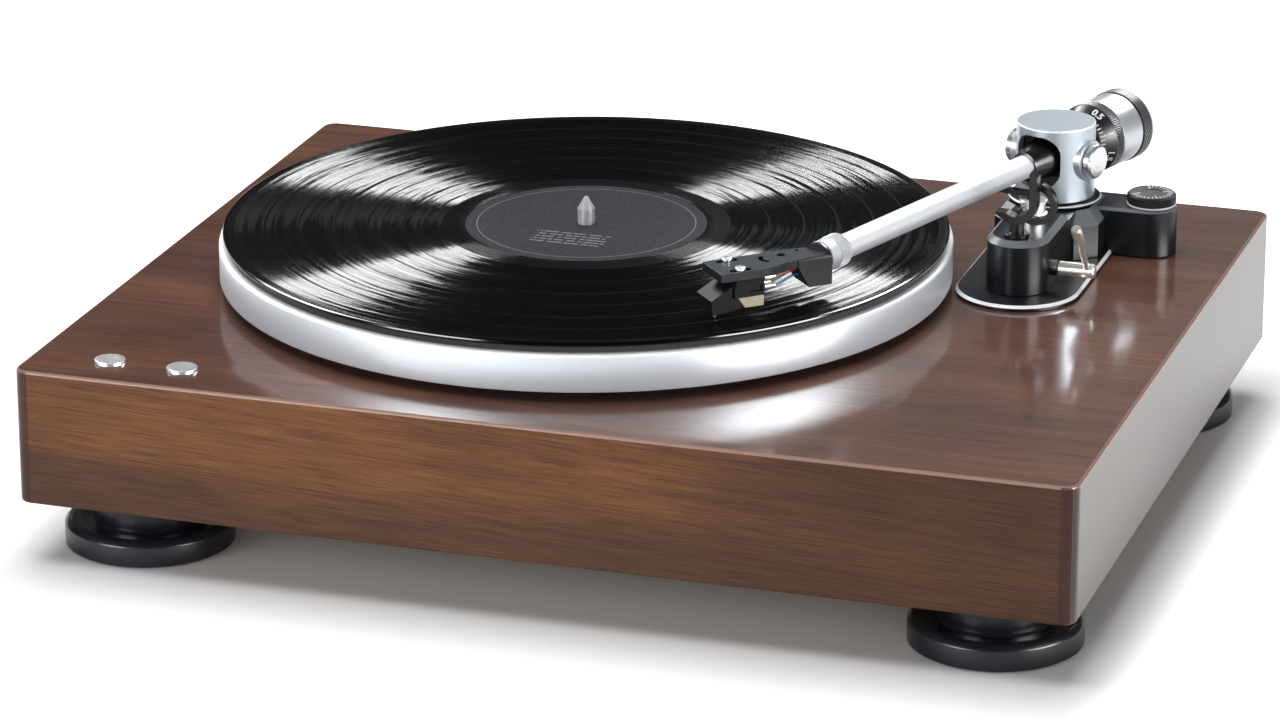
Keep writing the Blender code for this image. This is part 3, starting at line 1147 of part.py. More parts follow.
def make_stop_sensor(axis):
    """Optical fork over the edge of the vane, hung from the deck."""
    inside = ARM_SHAFT_RADIUS + CUT_OVERRUN
    back = VANE_RADIUS + SENSOR_GAP
    half = SENSOR_WIDTH / 2
    under = VANE_LEVEL - SENSOR_GAP - SENSOR_ARM
    over = VANE_LEVEL + VANE_THICKNESS + SENSOR_GAP
    start = max(inside, back - SENSOR_DEPTH)
    fork = box((-half, start, under), (half, back + SENSOR_ARM, over + SENSOR_ARM))
    sensor = piece("stop_sensor", fork, "black_plastic", axis)
    cut(sensor, box((-SENSOR_WIDTH, start - CUT_OVERRUN, under + SENSOR_ARM), (SENSOR_WIDTH, back, over)))
    join(sensor, rod(STANDOFF_RADIUS, over + SENSOR_ARM - UNION_OVERLAP, CAVITY_CEILING - SEAT_GAP,
                     FINE_STEPS, 0, back))


def make_bearing_housing(yaw_axis):
    """Hollow cylinder that swings with the arm: front and back windows, and a boss on each side."""
    inner = HOUSING_RADIUS - HOUSING_WALL
    bore = ARM_SHAFT_RADIUS + SEAT_GAP
    profile = [
        (0, HOUSING_HIGH), (HOUSING_RADIUS - HOUSING_EDGE, HOUSING_HIGH),
        (HOUSING_RADIUS, HOUSING_HIGH - HOUSING_EDGE), (HOUSING_RADIUS, -HOUSING_LOW), (bore, -HOUSING_LOW),
        (bore, -HOUSING_LOW + HOUSING_FLOOR), (inner, -HOUSING_LOW + HOUSING_FLOOR),
        (inner, HOUSING_HIGH - HOUSING_ROOF), (0, HOUSING_HIGH - HOUSING_ROOF),
    ]
    housing = piece("bearing_housing", turned(profile, MEDIUM_STEPS), "satin_aluminium", yaw_axis)
    start = inner - UNION_OVERLAP
    join(housing, placed(rod(BOSS_RADIUS, start, BOSS_REACH, SMALL_STEPS), RIGHTWARD),
         placed(rod(BOSS_RADIUS, start, BOSS_REACH, SMALL_STEPS), LEFTWARD))
    reach = HOUSING_RADIUS + CUT_OVERRUN
    front = prism(rectangle(WINDOW_WIDTH, WINDOW_HEIGHT, WINDOW_CORNER), TUBE_RADIUS, reach)
    back = prism(rectangle(REAR_WINDOW_WIDTH, REAR_WINDOW_HEIGHT, REAR_WINDOW_CORNER), -reach, -TUBE_RADIUS)
    cut(housing, placed(front, FORWARD), placed(back, FORWARD))
    bore = CAP_SHANK_RADIUS + SEAT_GAP
    cut(housing, placed(rod(bore, TUBE_RADIUS, BOSS_REACH + CUT_OVERRUN, SMALL_STEPS), RIGHTWARD),
        placed(rod(bore, TUBE_RADIUS, BOSS_REACH + CUT_OVERRUN, SMALL_STEPS), LEFTWARD))


def make_bearing_cap(name, yaw_axis, side):
    """Turned cap screwed into a boss; the cup in its inner end carries the arm's trunnion."""
    seat = BOSS_REACH + SEAT_GAP
    inner = seat - CAP_SHANK_LENGTH
    face = seat + CAP_HEIGHT
    profile = [
        (0, inner + CAP_SEAT_DEPTH), (CAP_SEAT_RADIUS, inner + CAP_SEAT_DEPTH), (CAP_SEAT_RADIUS, inner),
        (CAP_SHANK_RADIUS, inner), (CAP_SHANK_RADIUS, seat), (CAP_RADIUS, seat),
        (CAP_RADIUS, face - CAP_CHAMFER), (CAP_RADIUS - CAP_CHAMFER, face), (0, face - CAP_DISH),
    ]
    piece(name, placed(turned(profile, SMALL_STEPS), side), "polished_metal", yaw_axis)


def make_arm_yoke(pitch_axis):
    """Black sleeve at the heart of the gimbal, with a tapered nose and a trunnion on each side."""
    tube_bore = TUBE_RADIUS + SEAT_GAP
    stub_bore = STUB_RADIUS + SEAT_GAP
    profile = [
        (stub_bore, -SLEEVE_BACK), (SLEEVE_RADIUS - SLEEVE_CHAMFER, -SLEEVE_BACK),
        (SLEEVE_RADIUS, -SLEEVE_BACK + SLEEVE_CHAMFER), (SLEEVE_RADIUS, SLEEVE_SHOULDER),
        (SLEEVE_NOSE_RADIUS, SLEEVE_NOSE - SLEEVE_CHAMFER / 2), (tube_bore, SLEEVE_NOSE),
        (tube_bore, TUBE_START - SEAT_GAP), (stub_bore, TUBE_START - SEAT_GAP),
    ]
    yoke = piece("arm_yoke", placed(turned(profile, SMALL_STEPS, closed=True), FORWARD), "black_metal",
                 pitch_axis)
    start = SLEEVE_RADIUS - UNION_OVERLAP
    join(yoke, placed(rod(TRUNNION_RADIUS, start, TRUNNION_REACH, FINE_STEPS), RIGHTWARD),
         placed(rod(TRUNNION_RADIUS, start, TRUNNION_REACH, FINE_STEPS), LEFTWARD))


def make_arm_tubes(pitch_axis):
    """Straight arm tube in front of the gimbal, and the solid stub behind it."""
    inner = TUBE_RADIUS - TUBE_WALL
    profile = [(inner, TUBE_START), (TUBE_RADIUS, TUBE_START), (TUBE_RADIUS, TUBE_END), (inner, TUBE_END)]
    piece("arm_tube", placed(turned(profile, SMALL_STEPS, closed=True), FORWARD), "satin_aluminium",
          pitch_axis)
    profile = [(0, STUB_START), (STUB_RADIUS, STUB_START), (STUB_RADIUS, -STUB_END), (0, -STUB_END)]
    piece("rear_stub", placed(turned(profile, SMALL_STEPS), FORWARD), "polished_metal", pitch_axis)


def make_counterweight(pitch_axis):
    """Counterweight in its parts: threaded insert, silver body, ribbed grip ring and force dial."""
    insert_bore = STUB_RADIUS + SEAT_GAP
    insert_radius = insert_bore + INSERT_WALL
    weight_bore = insert_radius + SEAT_GAP
    weight_axis = axis_point("counterweight_axis", (0, 0, 0), pitch_axis)
    insert = [(insert_bore, WEIGHT_NECK_FRONT + SEAT_GAP), (insert_radius, WEIGHT_NECK_FRONT + SEAT_GAP),
              (insert_radius, WEIGHT_BACK), (insert_bore, WEIGHT_BACK)]
    piece("weight_insert", placed(turned(insert, FINE_STEPS, closed=True), BACKWARD), "black_plastic",
          weight_axis)
    body = [
        (weight_bore, WEIGHT_NECK_FRONT), (WEIGHT_NECK_RADIUS, WEIGHT_NECK_FRONT),
        (WEIGHT_NECK_RADIUS, DIAL_BACK + SEAT_GAP), (WEIGHT_RADIUS, DIAL_BACK + SEAT_GAP),
        (WEIGHT_RADIUS, WEIGHT_BACK), (weight_bore, WEIGHT_BACK),
    ]
    piece("counterweight", placed(turned(body, MEDIUM_STEPS, closed=True), BACKWARD), "polished_metal",
          weight_axis)
    ring_front = WEIGHT_BACK + SEAT_GAP
    grip = [
        (weight_bore, ring_front), (WEIGHT_RADIUS, ring_front), (GRIP_RADIUS, ring_front + GRIP_RIM),
        (GRIP_RADIUS, GRIP_BACK - 2 * GRIP_RIM), (GRIP_RADIUS, GRIP_BACK - GRIP_RIM),
        (GRIP_RADIUS - GRIP_RIM, GRIP_BACK), (weight_bore, GRIP_BACK),
    ]
    shape = turned(grip, 2 * GRIP_RIBS, closed=True)
    rib(shape, GRIP_RIBS, ring_front + GRIP_RIM, GRIP_BACK - 2 * GRIP_RIM, WEIGHT_RADIUS, RIB_DEPTH)
    piece("weight_grip_ring", placed(shape, BACKWARD), "black_plastic", weight_axis)
    dial_bore = WEIGHT_NECK_RADIUS + SEAT_GAP
    dial = [
        (dial_bore, DIAL_FRONT), (DIAL_FRONT_RADIUS, DIAL_FRONT), (DIAL_SHOULDER_RADIUS, DIAL_SHOULDER),
        (WEIGHT_RADIUS, DIAL_SHOULDER + RIB_DEPTH), (WEIGHT_RADIUS, DIAL_BACK), (dial_bore, DIAL_BACK),
    ]
    shape = turned(dial, 2 * DIAL_RIBS, closed=True)
    rib(shape, DIAL_RIBS, DIAL_SHOULDER + RIB_DEPTH, DIAL_BACK, DIAL_SHOULDER_RADIUS, RIB_DEPTH)
    dial_axis = axis_point("force_dial_axis", (0, 0, 0), weight_axis)
    piece("force_dial", placed(shape, BACKWARD), "black_plastic", dial_axis)


def make_locking_collar(pitch_axis):
    """Collar at the end of the tube that locks the headshell, ribbed at its back."""
    bore = TUBE_RADIUS + SEAT_GAP
    profile = [
        (bore, LOCK_START), (LOCK_KNURL_RADIUS, LOCK_START), (LOCK_KNURL_RADIUS, LOCK_KNURL_END),
        (LOCK_RADIUS, LOCK_KNURL_END + RIB_DEPTH), (LOCK_RADIUS, TUBE_END - SEAT_GAP),
        (bore, TUBE_END - SEAT_GAP),
    ]
    shape = turned(profile, 2 * LOCK_RIBS, closed=True)
    rib(shape, LOCK_RIBS, LOCK_START, LOCK_KNURL_END, LOCK_RADIUS, RIB_DEPTH)
    lock_axis = axis_point("locking_collar_axis", (0, 0, 0), pitch_axis)
    piece("locking_collar", placed(shape, FORWARD), "satin_aluminium", lock_axis)


def to_head(x, y):
    """Where a point given about the pivot, with the arm pointing to -Y, lies about the head's centre."""
    turn = Matrix.Rotation(-HEAD_OFFSET_ANGLE, 2)
    centre = Vector((0, -HEAD_BEND_DISTANCE)) + turn @ Vector((0, -HEAD_REACH))
    return tuple(turn.transposed() @ (Vector((x, y)) - centre))


def make_headshell(pitch_axis, head_axis):
    """Headshell: a waisted plate with two slots, a deep block behind and a plug into the tube."""
    low, high = HEAD_BOTTOM, HEAD_TOP
    middle = HEAD_SHIFT
    rear = -TUBE_END - SEAT_GAP - FLANGE_EMBED
    right_rear = to_head(TUBE_RADIUS, rear)
    left_rear = to_head(-FLANGE_RADIUS, rear)
    plate = [
        (middle - HEAD_HALF_WIDTH, -HEAD_FRONT), (middle + HEAD_HALF_WIDTH, -HEAD_FRONT),
        (middle + HEAD_HALF_WIDTH, HEAD_WAIST_START),
        (middle + HEAD_HALF_WIDTH * HEAD_WAIST_WIDTH_SHARE, HEAD_WAIST_MIDDLE),
        (HEAD_NARROW, HEAD_WAIST_END), right_rear, left_rear, (-HEAD_LEFT_REAR, BLOCK_FRONT),
    ]
    shell = piece("headshell", prism(rounded(plate, [RIB_DEPTH] * 2 + [0.0] * 6), low, high), "grey_alloy",
                  head_axis)
    roof = high - UNION_OVERLAP
    side = prism([(BLOCK_FRONT, roof), (BLOCK_FRONT, low), (BLOCK_FRONT + BLOCK_SLANT, -BLOCK_DROP),
                  (right_rear[1], -BLOCK_DROP), (right_rear[1], roof)],
                 -HEAD_LEFT_REAR, HEAD_NARROW - UNION_OVERLAP)
    block = placed(side, Matrix.Rotation(math.radians(90), 4, "Z") @ FORWARD)
    join(shell, block)
    flange_front = TUBE_END + SEAT_GAP + FLANGE_THICKNESS
    trim = box((-HEAD_REACH, -flange_front + FLANGE_EMBED, -HOUSING_LOW),
               (HEAD_REACH, -LOCK_START, HOUSING_HIGH))
    combine(shell, trim, "DIFFERENCE", pitch_axis)
    plug = [
        (0, flange_front), (FLANGE_RADIUS, flange_front), (FLANGE_RADIUS, TUBE_END + SEAT_GAP),
        (PLUG_RADIUS, TUBE_END + SEAT_GAP), (PLUG_RADIUS, TUBE_END - PLUG_LENGTH), (0, TUBE_END - PLUG_LENGTH),
    ]
    combine(shell, placed(turned(plug, SMALL_STEPS), FORWARD), "UNION", pitch_axis)
    cuts = []
    for side_sign in (-1, 1):
        centre_x = middle + side_sign * SLOT_SPACING / 2
        slot = rectangle(SLOT_WIDTH, SLOT_LENGTH, SLOT_WIDTH * SLOT_END_SHARE, centre_x, 0)
        cuts.append(prism(slot, low - CUT_OVERRUN, high + CUT_OVERRUN))
    arc_centre = (middle - HEAD_ARC_WIDTH, HEAD_WAIST_START + HEAD_ARC_RADIUS * 2)
    bow = arc(arc_centre, HEAD_ARC_RADIUS + HEAD_ARC_WIDTH / 2, HEAD_ARC_START, HEAD_ARC_END, FINE_STEPS)
    bow += arc(arc_centre, HEAD_ARC_RADIUS - HEAD_ARC_WIDTH / 2, HEAD_ARC_END, HEAD_ARC_START, FINE_STEPS)
    cuts.append(prism(bow, low - CUT_OVERRUN, high + CUT_OVERRUN))
    cuts.append(rod(HEAD_HOLE_RADIUS, low - CUT_OVERRUN, high + CUT_OVERRUN, FINE_STEPS,
                    -HEAD_NARROW, HEAD_WAIST_END + HEAD_HOLE_RADIUS))
    cuts.append(rod(HEAD_PIN_RADIUS, high - HEAD_THICKNESS / 2, high + CUT_OVERRUN, FINE_STEPS,
                    -HEAD_LEFT_REAR * HEAD_PIN_PLACE_SHARE, BLOCK_FRONT + BLOCK_SLANT))
    cut(shell, *cuts)


def make_cartridge(head_axis):
    """Moving-magnet cartridge: eared body, pale shoe, removable stylus block, cantilever and screws."""
    middle = HEAD_SHIFT
    split = HEAD_TOP - CARTRIDGE_SPLIT
    body = piece("cartridge_body", box((middle - CARTRIDGE_HALF_WIDTH, -CARTRIDGE_FRONT, split),
                                       (middle + CARTRIDGE_HALF_WIDTH, CARTRIDGE_BACK, CARTRIDGE_TOP)),
                 "black_plastic", head_axis)
    ear = box((middle - CARTRIDGE_EAR_HALF_WIDTH, -CARTRIDGE_EAR_FRONT, CARTRIDGE_TOP - CARTRIDGE_EAR_HEIGHT),
              (middle + CARTRIDGE_EAR_HALF_WIDTH, CARTRIDGE_EAR_FRONT, CARTRIDGE_TOP - UNION_OVERLAP))
    join(body, ear)
    bore_floor = HEAD_TOP - HEAD_SCREW_LENGTH
    cut(body, *[rod(HEAD_SCREW_SHANK + SEAT_GAP, bore_floor, CARTRIDGE_TOP + CUT_OVERRUN, FINE_STEPS,
                    middle + side * SLOT_SPACING / 2, 0) for side in (-1, 1)])
    pins = [placed(rod(PIN_RADIUS, CARTRIDGE_BACK - UNION_OVERLAP, CARTRIDGE_BACK + PIN_LENGTH, FINE_STEPS),
                   Matrix.Translation((x, 0, z)) @ BACKWARD) for x, z in pin_places()]
    join(body, *pins)
    shoe_low = SHOE_TOP - SHOE_DROP
    profile = [(-SHOE_FRONT_TOP, SHOE_TOP), (-SHOE_FRONT_LOW, shoe_low), (CARTRIDGE_BACK, shoe_low),
               (CARTRIDGE_BACK, SHOE_TOP)]
    across = Matrix.Rotation(math.radians(90), 4, "Z") @ FORWARD
    shoe = prism(profile, middle - SHOE_HALF_WIDTH, middle + SHOE_HALF_WIDTH)
    piece("cartridge_shoe", placed(shoe, across), "pale_gold", head_axis)
    floor = STYLUS_TIP + STYLUS_BLOCK_FLOOR
    profile = [
        (-SHOE_FRONT_TOP - 2 * SEAT_GAP, SHOE_TOP), (-SHOE_FRONT_LOW - 2 * SEAT_GAP, shoe_low),
        (-STYLUS_BLOCK_NOSE, floor), (-STYLUS_BLOCK_FRONT, SHOE_TOP), (-VISOR_BACK, SHOE_TOP + VISOR_RISE),
        (-VISOR_BACK, SHOE_TOP),
    ]
    block = prism(profile, middle - STYLUS_BLOCK_HALF_WIDTH, middle + STYLUS_BLOCK_HALF_WIDTH)
    block = piece("stylus_block", placed(block, across), "black_plastic", head_axis)
    relief = STYLUS_BLOCK_HALF_WIDTH * STYLUS_RELIEF_SHARE
    cut(block, box((middle - relief, -STYLUS_BLOCK_FRONT - CUT_OVERRUN, floor - STYLUS_BLOCK_FLOOR),
                   (middle + relief, -CANTILEVER_BACK, floor + STYLUS_BLOCK_FLOOR / 2)))
    start = Vector((middle, -CANTILEVER_BACK - SEAT_GAP, floor + STYLUS_BLOCK_FLOOR / 4))
    end = Vector((middle, -STYLUS_REACH, STYLUS_TIP + CANTILEVER_RADIUS * 2))
    along = end - start
    tube = rod(CANTILEVER_RADIUS, 0, along.length, FINE_STEPS // 2)
    aim = Matrix.Translation(start) @ along.to_track_quat("Z", "Y").to_matrix().to_4x4()
    stylus = piece("cantilever", placed(tube, aim), "satin_aluminium", head_axis)
    diamond = bmesh.new()
    bmesh.ops.create_cone(diamond, cap_ends=True, segments=FINE_STEPS // 2, radius1=DIAMOND_TIP_RADIUS,
                          radius2=DIAMOND_RADIUS, depth=DIAMOND_LENGTH,
                          matrix=Matrix.Translation(end - Vector((0, 0, DIAMOND_RADIUS))))
    join(stylus, diamond)
    for name, side in (("head_screw_left", -1), ("head_screw_right", 1)):
        make_head_screw(name, head_axis, middle + side * SLOT_SPACING / 2)


def make_head_screw(name, head_axis, x):
    """Slotted cheese-head screw through the headshell's slot into the cartridge's ear."""
    seat = HEAD_TOP + SEAT_GAP
    top = seat + HEAD_SCREW_HEIGHT
    profile = [
        (0, top), (HEAD_SCREW_RADIUS - RIB_DEPTH, top), (HEAD_SCREW_RADIUS, top - RIB_DEPTH),
        (HEAD_SCREW_RADIUS, seat), (HEAD_SCREW_SHANK, seat), (HEAD_SCREW_SHANK, seat - HEAD_SCREW_LENGTH),
        (0, seat - HEAD_SCREW_LENGTH),
    ]
    screw = piece(name, turned(profile, FINE_STEPS), "polished_metal", head_axis, (x, 0, 0))
    half = HEAD_SCREW_SLOT / 2
    cut(screw, box((-HEAD_SCREW_RADIUS * 2, -half, top - HEAD_SCREW_SLOT),
                   (HEAD_SCREW_RADIUS * 2, half, top + CUT_OVERRUN)))


def pin_places():
    """Where the cartridge's four pins stand out of its back, across and in height."""
    return [(HEAD_SHIFT + side * PIN_SPACING / 2, CARTRIDGE_TOP - row) for row in PIN_ROWS for side in (-1, 1)]


def make_leads(head_axis):
    """Four thin leads with clips, from the cartridge's pins to the block of the headshell."""
    names = ("lead_white", "lead_red", "lead_green", "lead_blue")
    clip_start = CARTRIDGE_BACK + PIN_LENGTH + SEAT_GAP
    clip_end = clip_start + LEAD_CLIP_LENGTH
    block_face = BLOCK_FRONT - SEAT_GAP
    for index, (name, (x, z)) in enumerate(zip(names, pin_places())):
        target = HEAD_BOTTOM - LEAD_CLIP_RADIUS * (2 + 2 * (index // 2))
        face = block_face + BLOCK_SLANT * (HEAD_BOTTOM - target) / (HEAD_BOTTOM + BLOCK_DROP)
        ends = (Vector((x, clip_end, z)), Vector((x - HEAD_NARROW / 3, face, target)))
        reach = (ends[1].y - ends[0].y) * LEAD_RISE_SHARES[1]
        handles = (ends[0] + Vector((0, reach, 0)), ends[1] - Vector((0, reach, 0)))
        route = [bezier(ends[0], handles[0], handles[1], ends[1], step / LEAD_STEPS)
                 for step in range(LEAD_STEPS + 1)]
        lead = bpy.data.curves.new(name, "CURVE")
        lead.dimensions = "3D"
        lead.bevel_depth = LEAD_RADIUS
        lead.bevel_resolution = 1
        lead.use_fill_caps = True
        clip_share = LEAD_CLIP_RADIUS / LEAD_RADIUS
        points = [(Vector((x, clip_start, z)), clip_share),
                  (Vector((x, clip_start + LEAD_CLIP_LENGTH * LEAD_RISE_SHARES[0], z)), clip_share)]
        points += [(point, 1.0) for point in route]
        spline = lead.splines.new("POLY")
        spline.points.add(len(points) - 1)
        for slot, (point, share) in zip(spline.points, points):
            slot.co = (*point, 1.0)
            slot.radius = share
        made = bpy.data.objects.new(name, lead)
        bpy.context.scene.collection.objects.link(made)
        made.parent = head_axis
        lead.materials.append(finish(name.split("_")[1] + "_lead"))


def bezier(start, first, second, end, share):
    """Point at a share of the way along a cubic curve."""
    left = 1 - share
    return (start * left ** 3 + first * (3 * share * left ** 2) + second * (3 * left * share ** 2)
            + end * share ** 3)


def build():
    """Builds the whole turntable."""
    clear_scene()
    make_plinth()
    make_bottom_board()
    foot_x = PLINTH_WIDTH / 2 - FOOT_INSET_X
    foot_y = PLINTH_DEPTH / 2 - FOOT_INSET_Y
    for end, y in (("front", -foot_y), ("rear", foot_y)):
        for side, x in (("left", -foot_x), ("right", foot_x)):
            make_foot(f"foot_{end}_{side}", x, y)
    make_bearing_bush()
    make_motor()
    make_belt()
    make_switch_board()
    make_control_board()
    make_connectors()
    for name, x in zip(("button_left", "button_right"), BUTTON_XS):
        make_button(name, x)
    platter_axis = axis_point("platter_axis", (PLATTER_X, PLATTER_Y, 0))
    for make in (make_spindle, make_platter, make_mat, make_record, make_label):
        make(platter_axis)
    make_pulley(axis_point("motor_axis", (MOTOR_X, MOTOR_Y, 0)))
    base_axis = axis_point("arm_base_axis", (PIVOT_X, PIVOT_Y, 0))
    for make in (make_base_plate, make_base_casting, make_pivot_collar, make_anti_skate_knob, make_arm_rest,
                 make_rest_clip, make_lift, make_cue_lever, make_stop_sensor):
        make(base_axis)
    yaw_axis = axis_point("arm_yaw_axis", (0, 0, ARM_HEIGHT), base_axis, -ARM_YAW)
    make_arm_shaft(yaw_axis)
    make_bearing_housing(yaw_axis)
    make_bearing_cap("bearing_cap_left", yaw_axis, LEFTWARD)
    make_bearing_cap("bearing_cap_right", yaw_axis, RIGHTWARD)
    pitch_axis = axis_point("arm_pitch_axis", (0, 0, 0), yaw_axis)
    for make in (make_arm_yoke, make_arm_tubes, make_counterweight, make_locking_collar):
        make(pitch_axis)
    bend = axis_point("head_bend", (0, -HEAD_BEND_DISTANCE, 0), pitch_axis, -HEAD_OFFSET_ANGLE)
    head_axis = axis_point("head_centre", (0, -HEAD_REACH, 0), bend)
    make_headshell(pitch_axis, head_axis)
    make_cartridge(head_axis)
    make_leads(head_axis)
    bpy.context.view_layer.update()


build()
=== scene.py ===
"""Looks of the semi-automatic turntable: walnut plinth, satin platter, record and gimballed tonearm."""

import math

import bmesh
import bpy
from mathutils import Matrix, Vector


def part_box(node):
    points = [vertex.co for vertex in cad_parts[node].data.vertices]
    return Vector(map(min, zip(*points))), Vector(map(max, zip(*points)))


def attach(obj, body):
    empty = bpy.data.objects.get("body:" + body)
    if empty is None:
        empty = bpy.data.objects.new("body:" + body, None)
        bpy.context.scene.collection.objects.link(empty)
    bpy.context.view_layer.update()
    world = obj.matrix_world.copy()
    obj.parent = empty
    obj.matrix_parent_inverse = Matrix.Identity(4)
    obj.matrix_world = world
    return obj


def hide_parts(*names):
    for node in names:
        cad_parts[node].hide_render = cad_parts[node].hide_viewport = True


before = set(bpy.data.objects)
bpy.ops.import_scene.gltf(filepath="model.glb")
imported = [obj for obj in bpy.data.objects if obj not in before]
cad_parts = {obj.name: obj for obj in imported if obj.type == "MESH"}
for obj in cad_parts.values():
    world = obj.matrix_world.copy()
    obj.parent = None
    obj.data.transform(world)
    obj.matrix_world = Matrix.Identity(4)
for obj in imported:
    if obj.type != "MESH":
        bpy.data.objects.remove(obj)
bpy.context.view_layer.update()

# Studio
# A pale sweep of floor under plain soft light, seen from the front right and a little above. The four
# glints are soft boxes that only gloss sees. The floor glows away from the plinth, so that it goes white
# there and the shadow stays. The glow fades out near the plinth, and that is a painted shadow round it.
camera = bpy.data.objects.new("camera", bpy.data.cameras.new("camera"))
bpy.context.scene.collection.objects.link(camera)
camera.location = (0.65696, -2.06639, 0.82223)
camera.rotation_euler = (1.2286664, 0.0014603, 0.3123859)
camera.data.sensor_width = 36.0
camera.data.lens = 155.38
camera.data.clip_end = 30.0
bpy.context.scene.camera = camera
bpy.context.scene.view_settings.view_transform = "Standard"


deck_middle = Vector((0.0, 0.0, 0.08))


def soft_lamp(name, place, width, height, power):
    """Hangs a soft box at a place, turned to the middle of the deck."""
    light = bpy.data.lights.new(name, "AREA")
    light.shape = "RECTANGLE"
    light.size = width
    light.size_y = height
    light.energy = power
    lamp = bpy.data.objects.new(name, light)
    bpy.context.scene.collection.objects.link(lamp)
    lamp.location = place
    lamp.rotation_euler = (deck_middle - Vector(place)).to_track_quat("-Z", "Y").to_euler()
    return lamp


soft_lamp("overhead_box", (-0.3, 0.1, 2.3), 2.2, 1.8, 60.0).visible_glossy = False
soft_lamp("front_left_box", (-1.7, -2.4, 1.1), 1.6, 1.0, 14.0)
back_glints = [soft_lamp("back_left_glint", (-1.41, 0.97, 1.53), 1.05, 0.60, 48.0),
               soft_lamp("back_right_glint", (0.46, 1.60, 1.52), 1.15, 0.60, 56.0)]
front_glints = [soft_lamp("front_left_glint", (-1.25, -2.17, 0.72), 1.3, 0.8, 70.0),
                soft_lamp("front_right_glint", (2.30, -0.57, 0.66), 1.5, 0.9, 135.0)]
for lamp in back_glints + front_glints:
    lamp.visible_diffuse = False


class Wire:
    """An output socket in a node tree. Sums written on wires add Math nodes to that tree."""

    def __init__(self, graph, socket):
        self.graph = graph
        self.socket = socket

    def __add__(self, other):
        return self.graph.math("ADD", self, other)

    def __radd__(self, other):
        return self.graph.math("ADD", other, self)

    def __sub__(self, other):
        return self.graph.math("SUBTRACT", self, other)

    def __rsub__(self, other):
        return self.graph.math("SUBTRACT", other, self)

    def __mul__(self, other):
        return self.graph.math("MULTIPLY", self, other)

    def __rmul__(self, other):
        return self.graph.math("MULTIPLY", other, self)

    def __truediv__(self, other):
        return self.graph.math("DIVIDE", self, other)

    def __gt__(self, other):
        return self.graph.math("GREATER_THAN", self, other)

    def __abs__(self):
        return self.graph.math("ABSOLUTE", self)

    def root(self):
        """Square root."""
        return self.graph.math("SQRT", self)

    def wave(self):
        """Sine, moved to lie between 0 and 1."""
        return self.graph.math("SINE", self) * 0.5 + 0.5

    def between(self, low, high):
        """Rises from 0 at low to 1 at high, smoothly, and stays there."""
        return self.graph.node("ShaderNodeMapRange", {"interpolation_type": "SMOOTHSTEP"},
                               {"Value": self, "From Min": low, "From Max": high})


class Graph:
    """A node tree whose nodes all come from the node method."""

    def __init__(self, tree):
        self.tree = tree

    def node(self, kind, settings=None, sockets=None, out=0):
        """Adds a node with its settings first, then its sockets' values or links."""
        made = self.tree.nodes.new(kind)
        for key, value in (settings or {}).items():
            if key == "stops":
                ramp = made.color_ramp
                while len(ramp.elements) < len(value):
                    ramp.elements.new(0.5)
                for stop, (place, colour) in zip(ramp.elements, value):
                    stop.position = place
                    stop.color = (*colour, 1.0)
            else:
                setattr(made, key, value)
        for key, value in (sockets or {}).items():
            if isinstance(value, Wire):
                self.tree.links.new(value.socket, made.inputs[key])
            else:
                made.inputs[key].default_value = value
        return Wire(self, made.outputs[out])

    def math(self, operation, *values):
        """Adds one Math node that works on these values."""
        return self.node("ShaderNodeMath", {"operation": operation}, dict(enumerate(values)))

    def vector(self, operation, *values, out=0):
        """Adds one Vector Math node that works on these vectors."""
        return self.node("ShaderNodeVectorMath", {"operation": operation}, dict(enumerate(values)), out)

    def joined(self, x, y=0.0, z=0.0):
        """The vector of three numbers."""
        return self.node("ShaderNodeCombineXYZ", None, {0: x, 1: y, 2: z})

    def axes(self, vector):
        """The three numbers of a vector."""
        split = self.node("ShaderNodeSeparateXYZ", None, {0: vector})
        outputs = split.socket.node.outputs
        return [Wire(self, outputs[index]) for index in range(3)]

    def ray(self, kind):
        """One where the ray is of this kind, such as Is Camera Ray."""
        return self.node("ShaderNodeLightPath", out=kind)


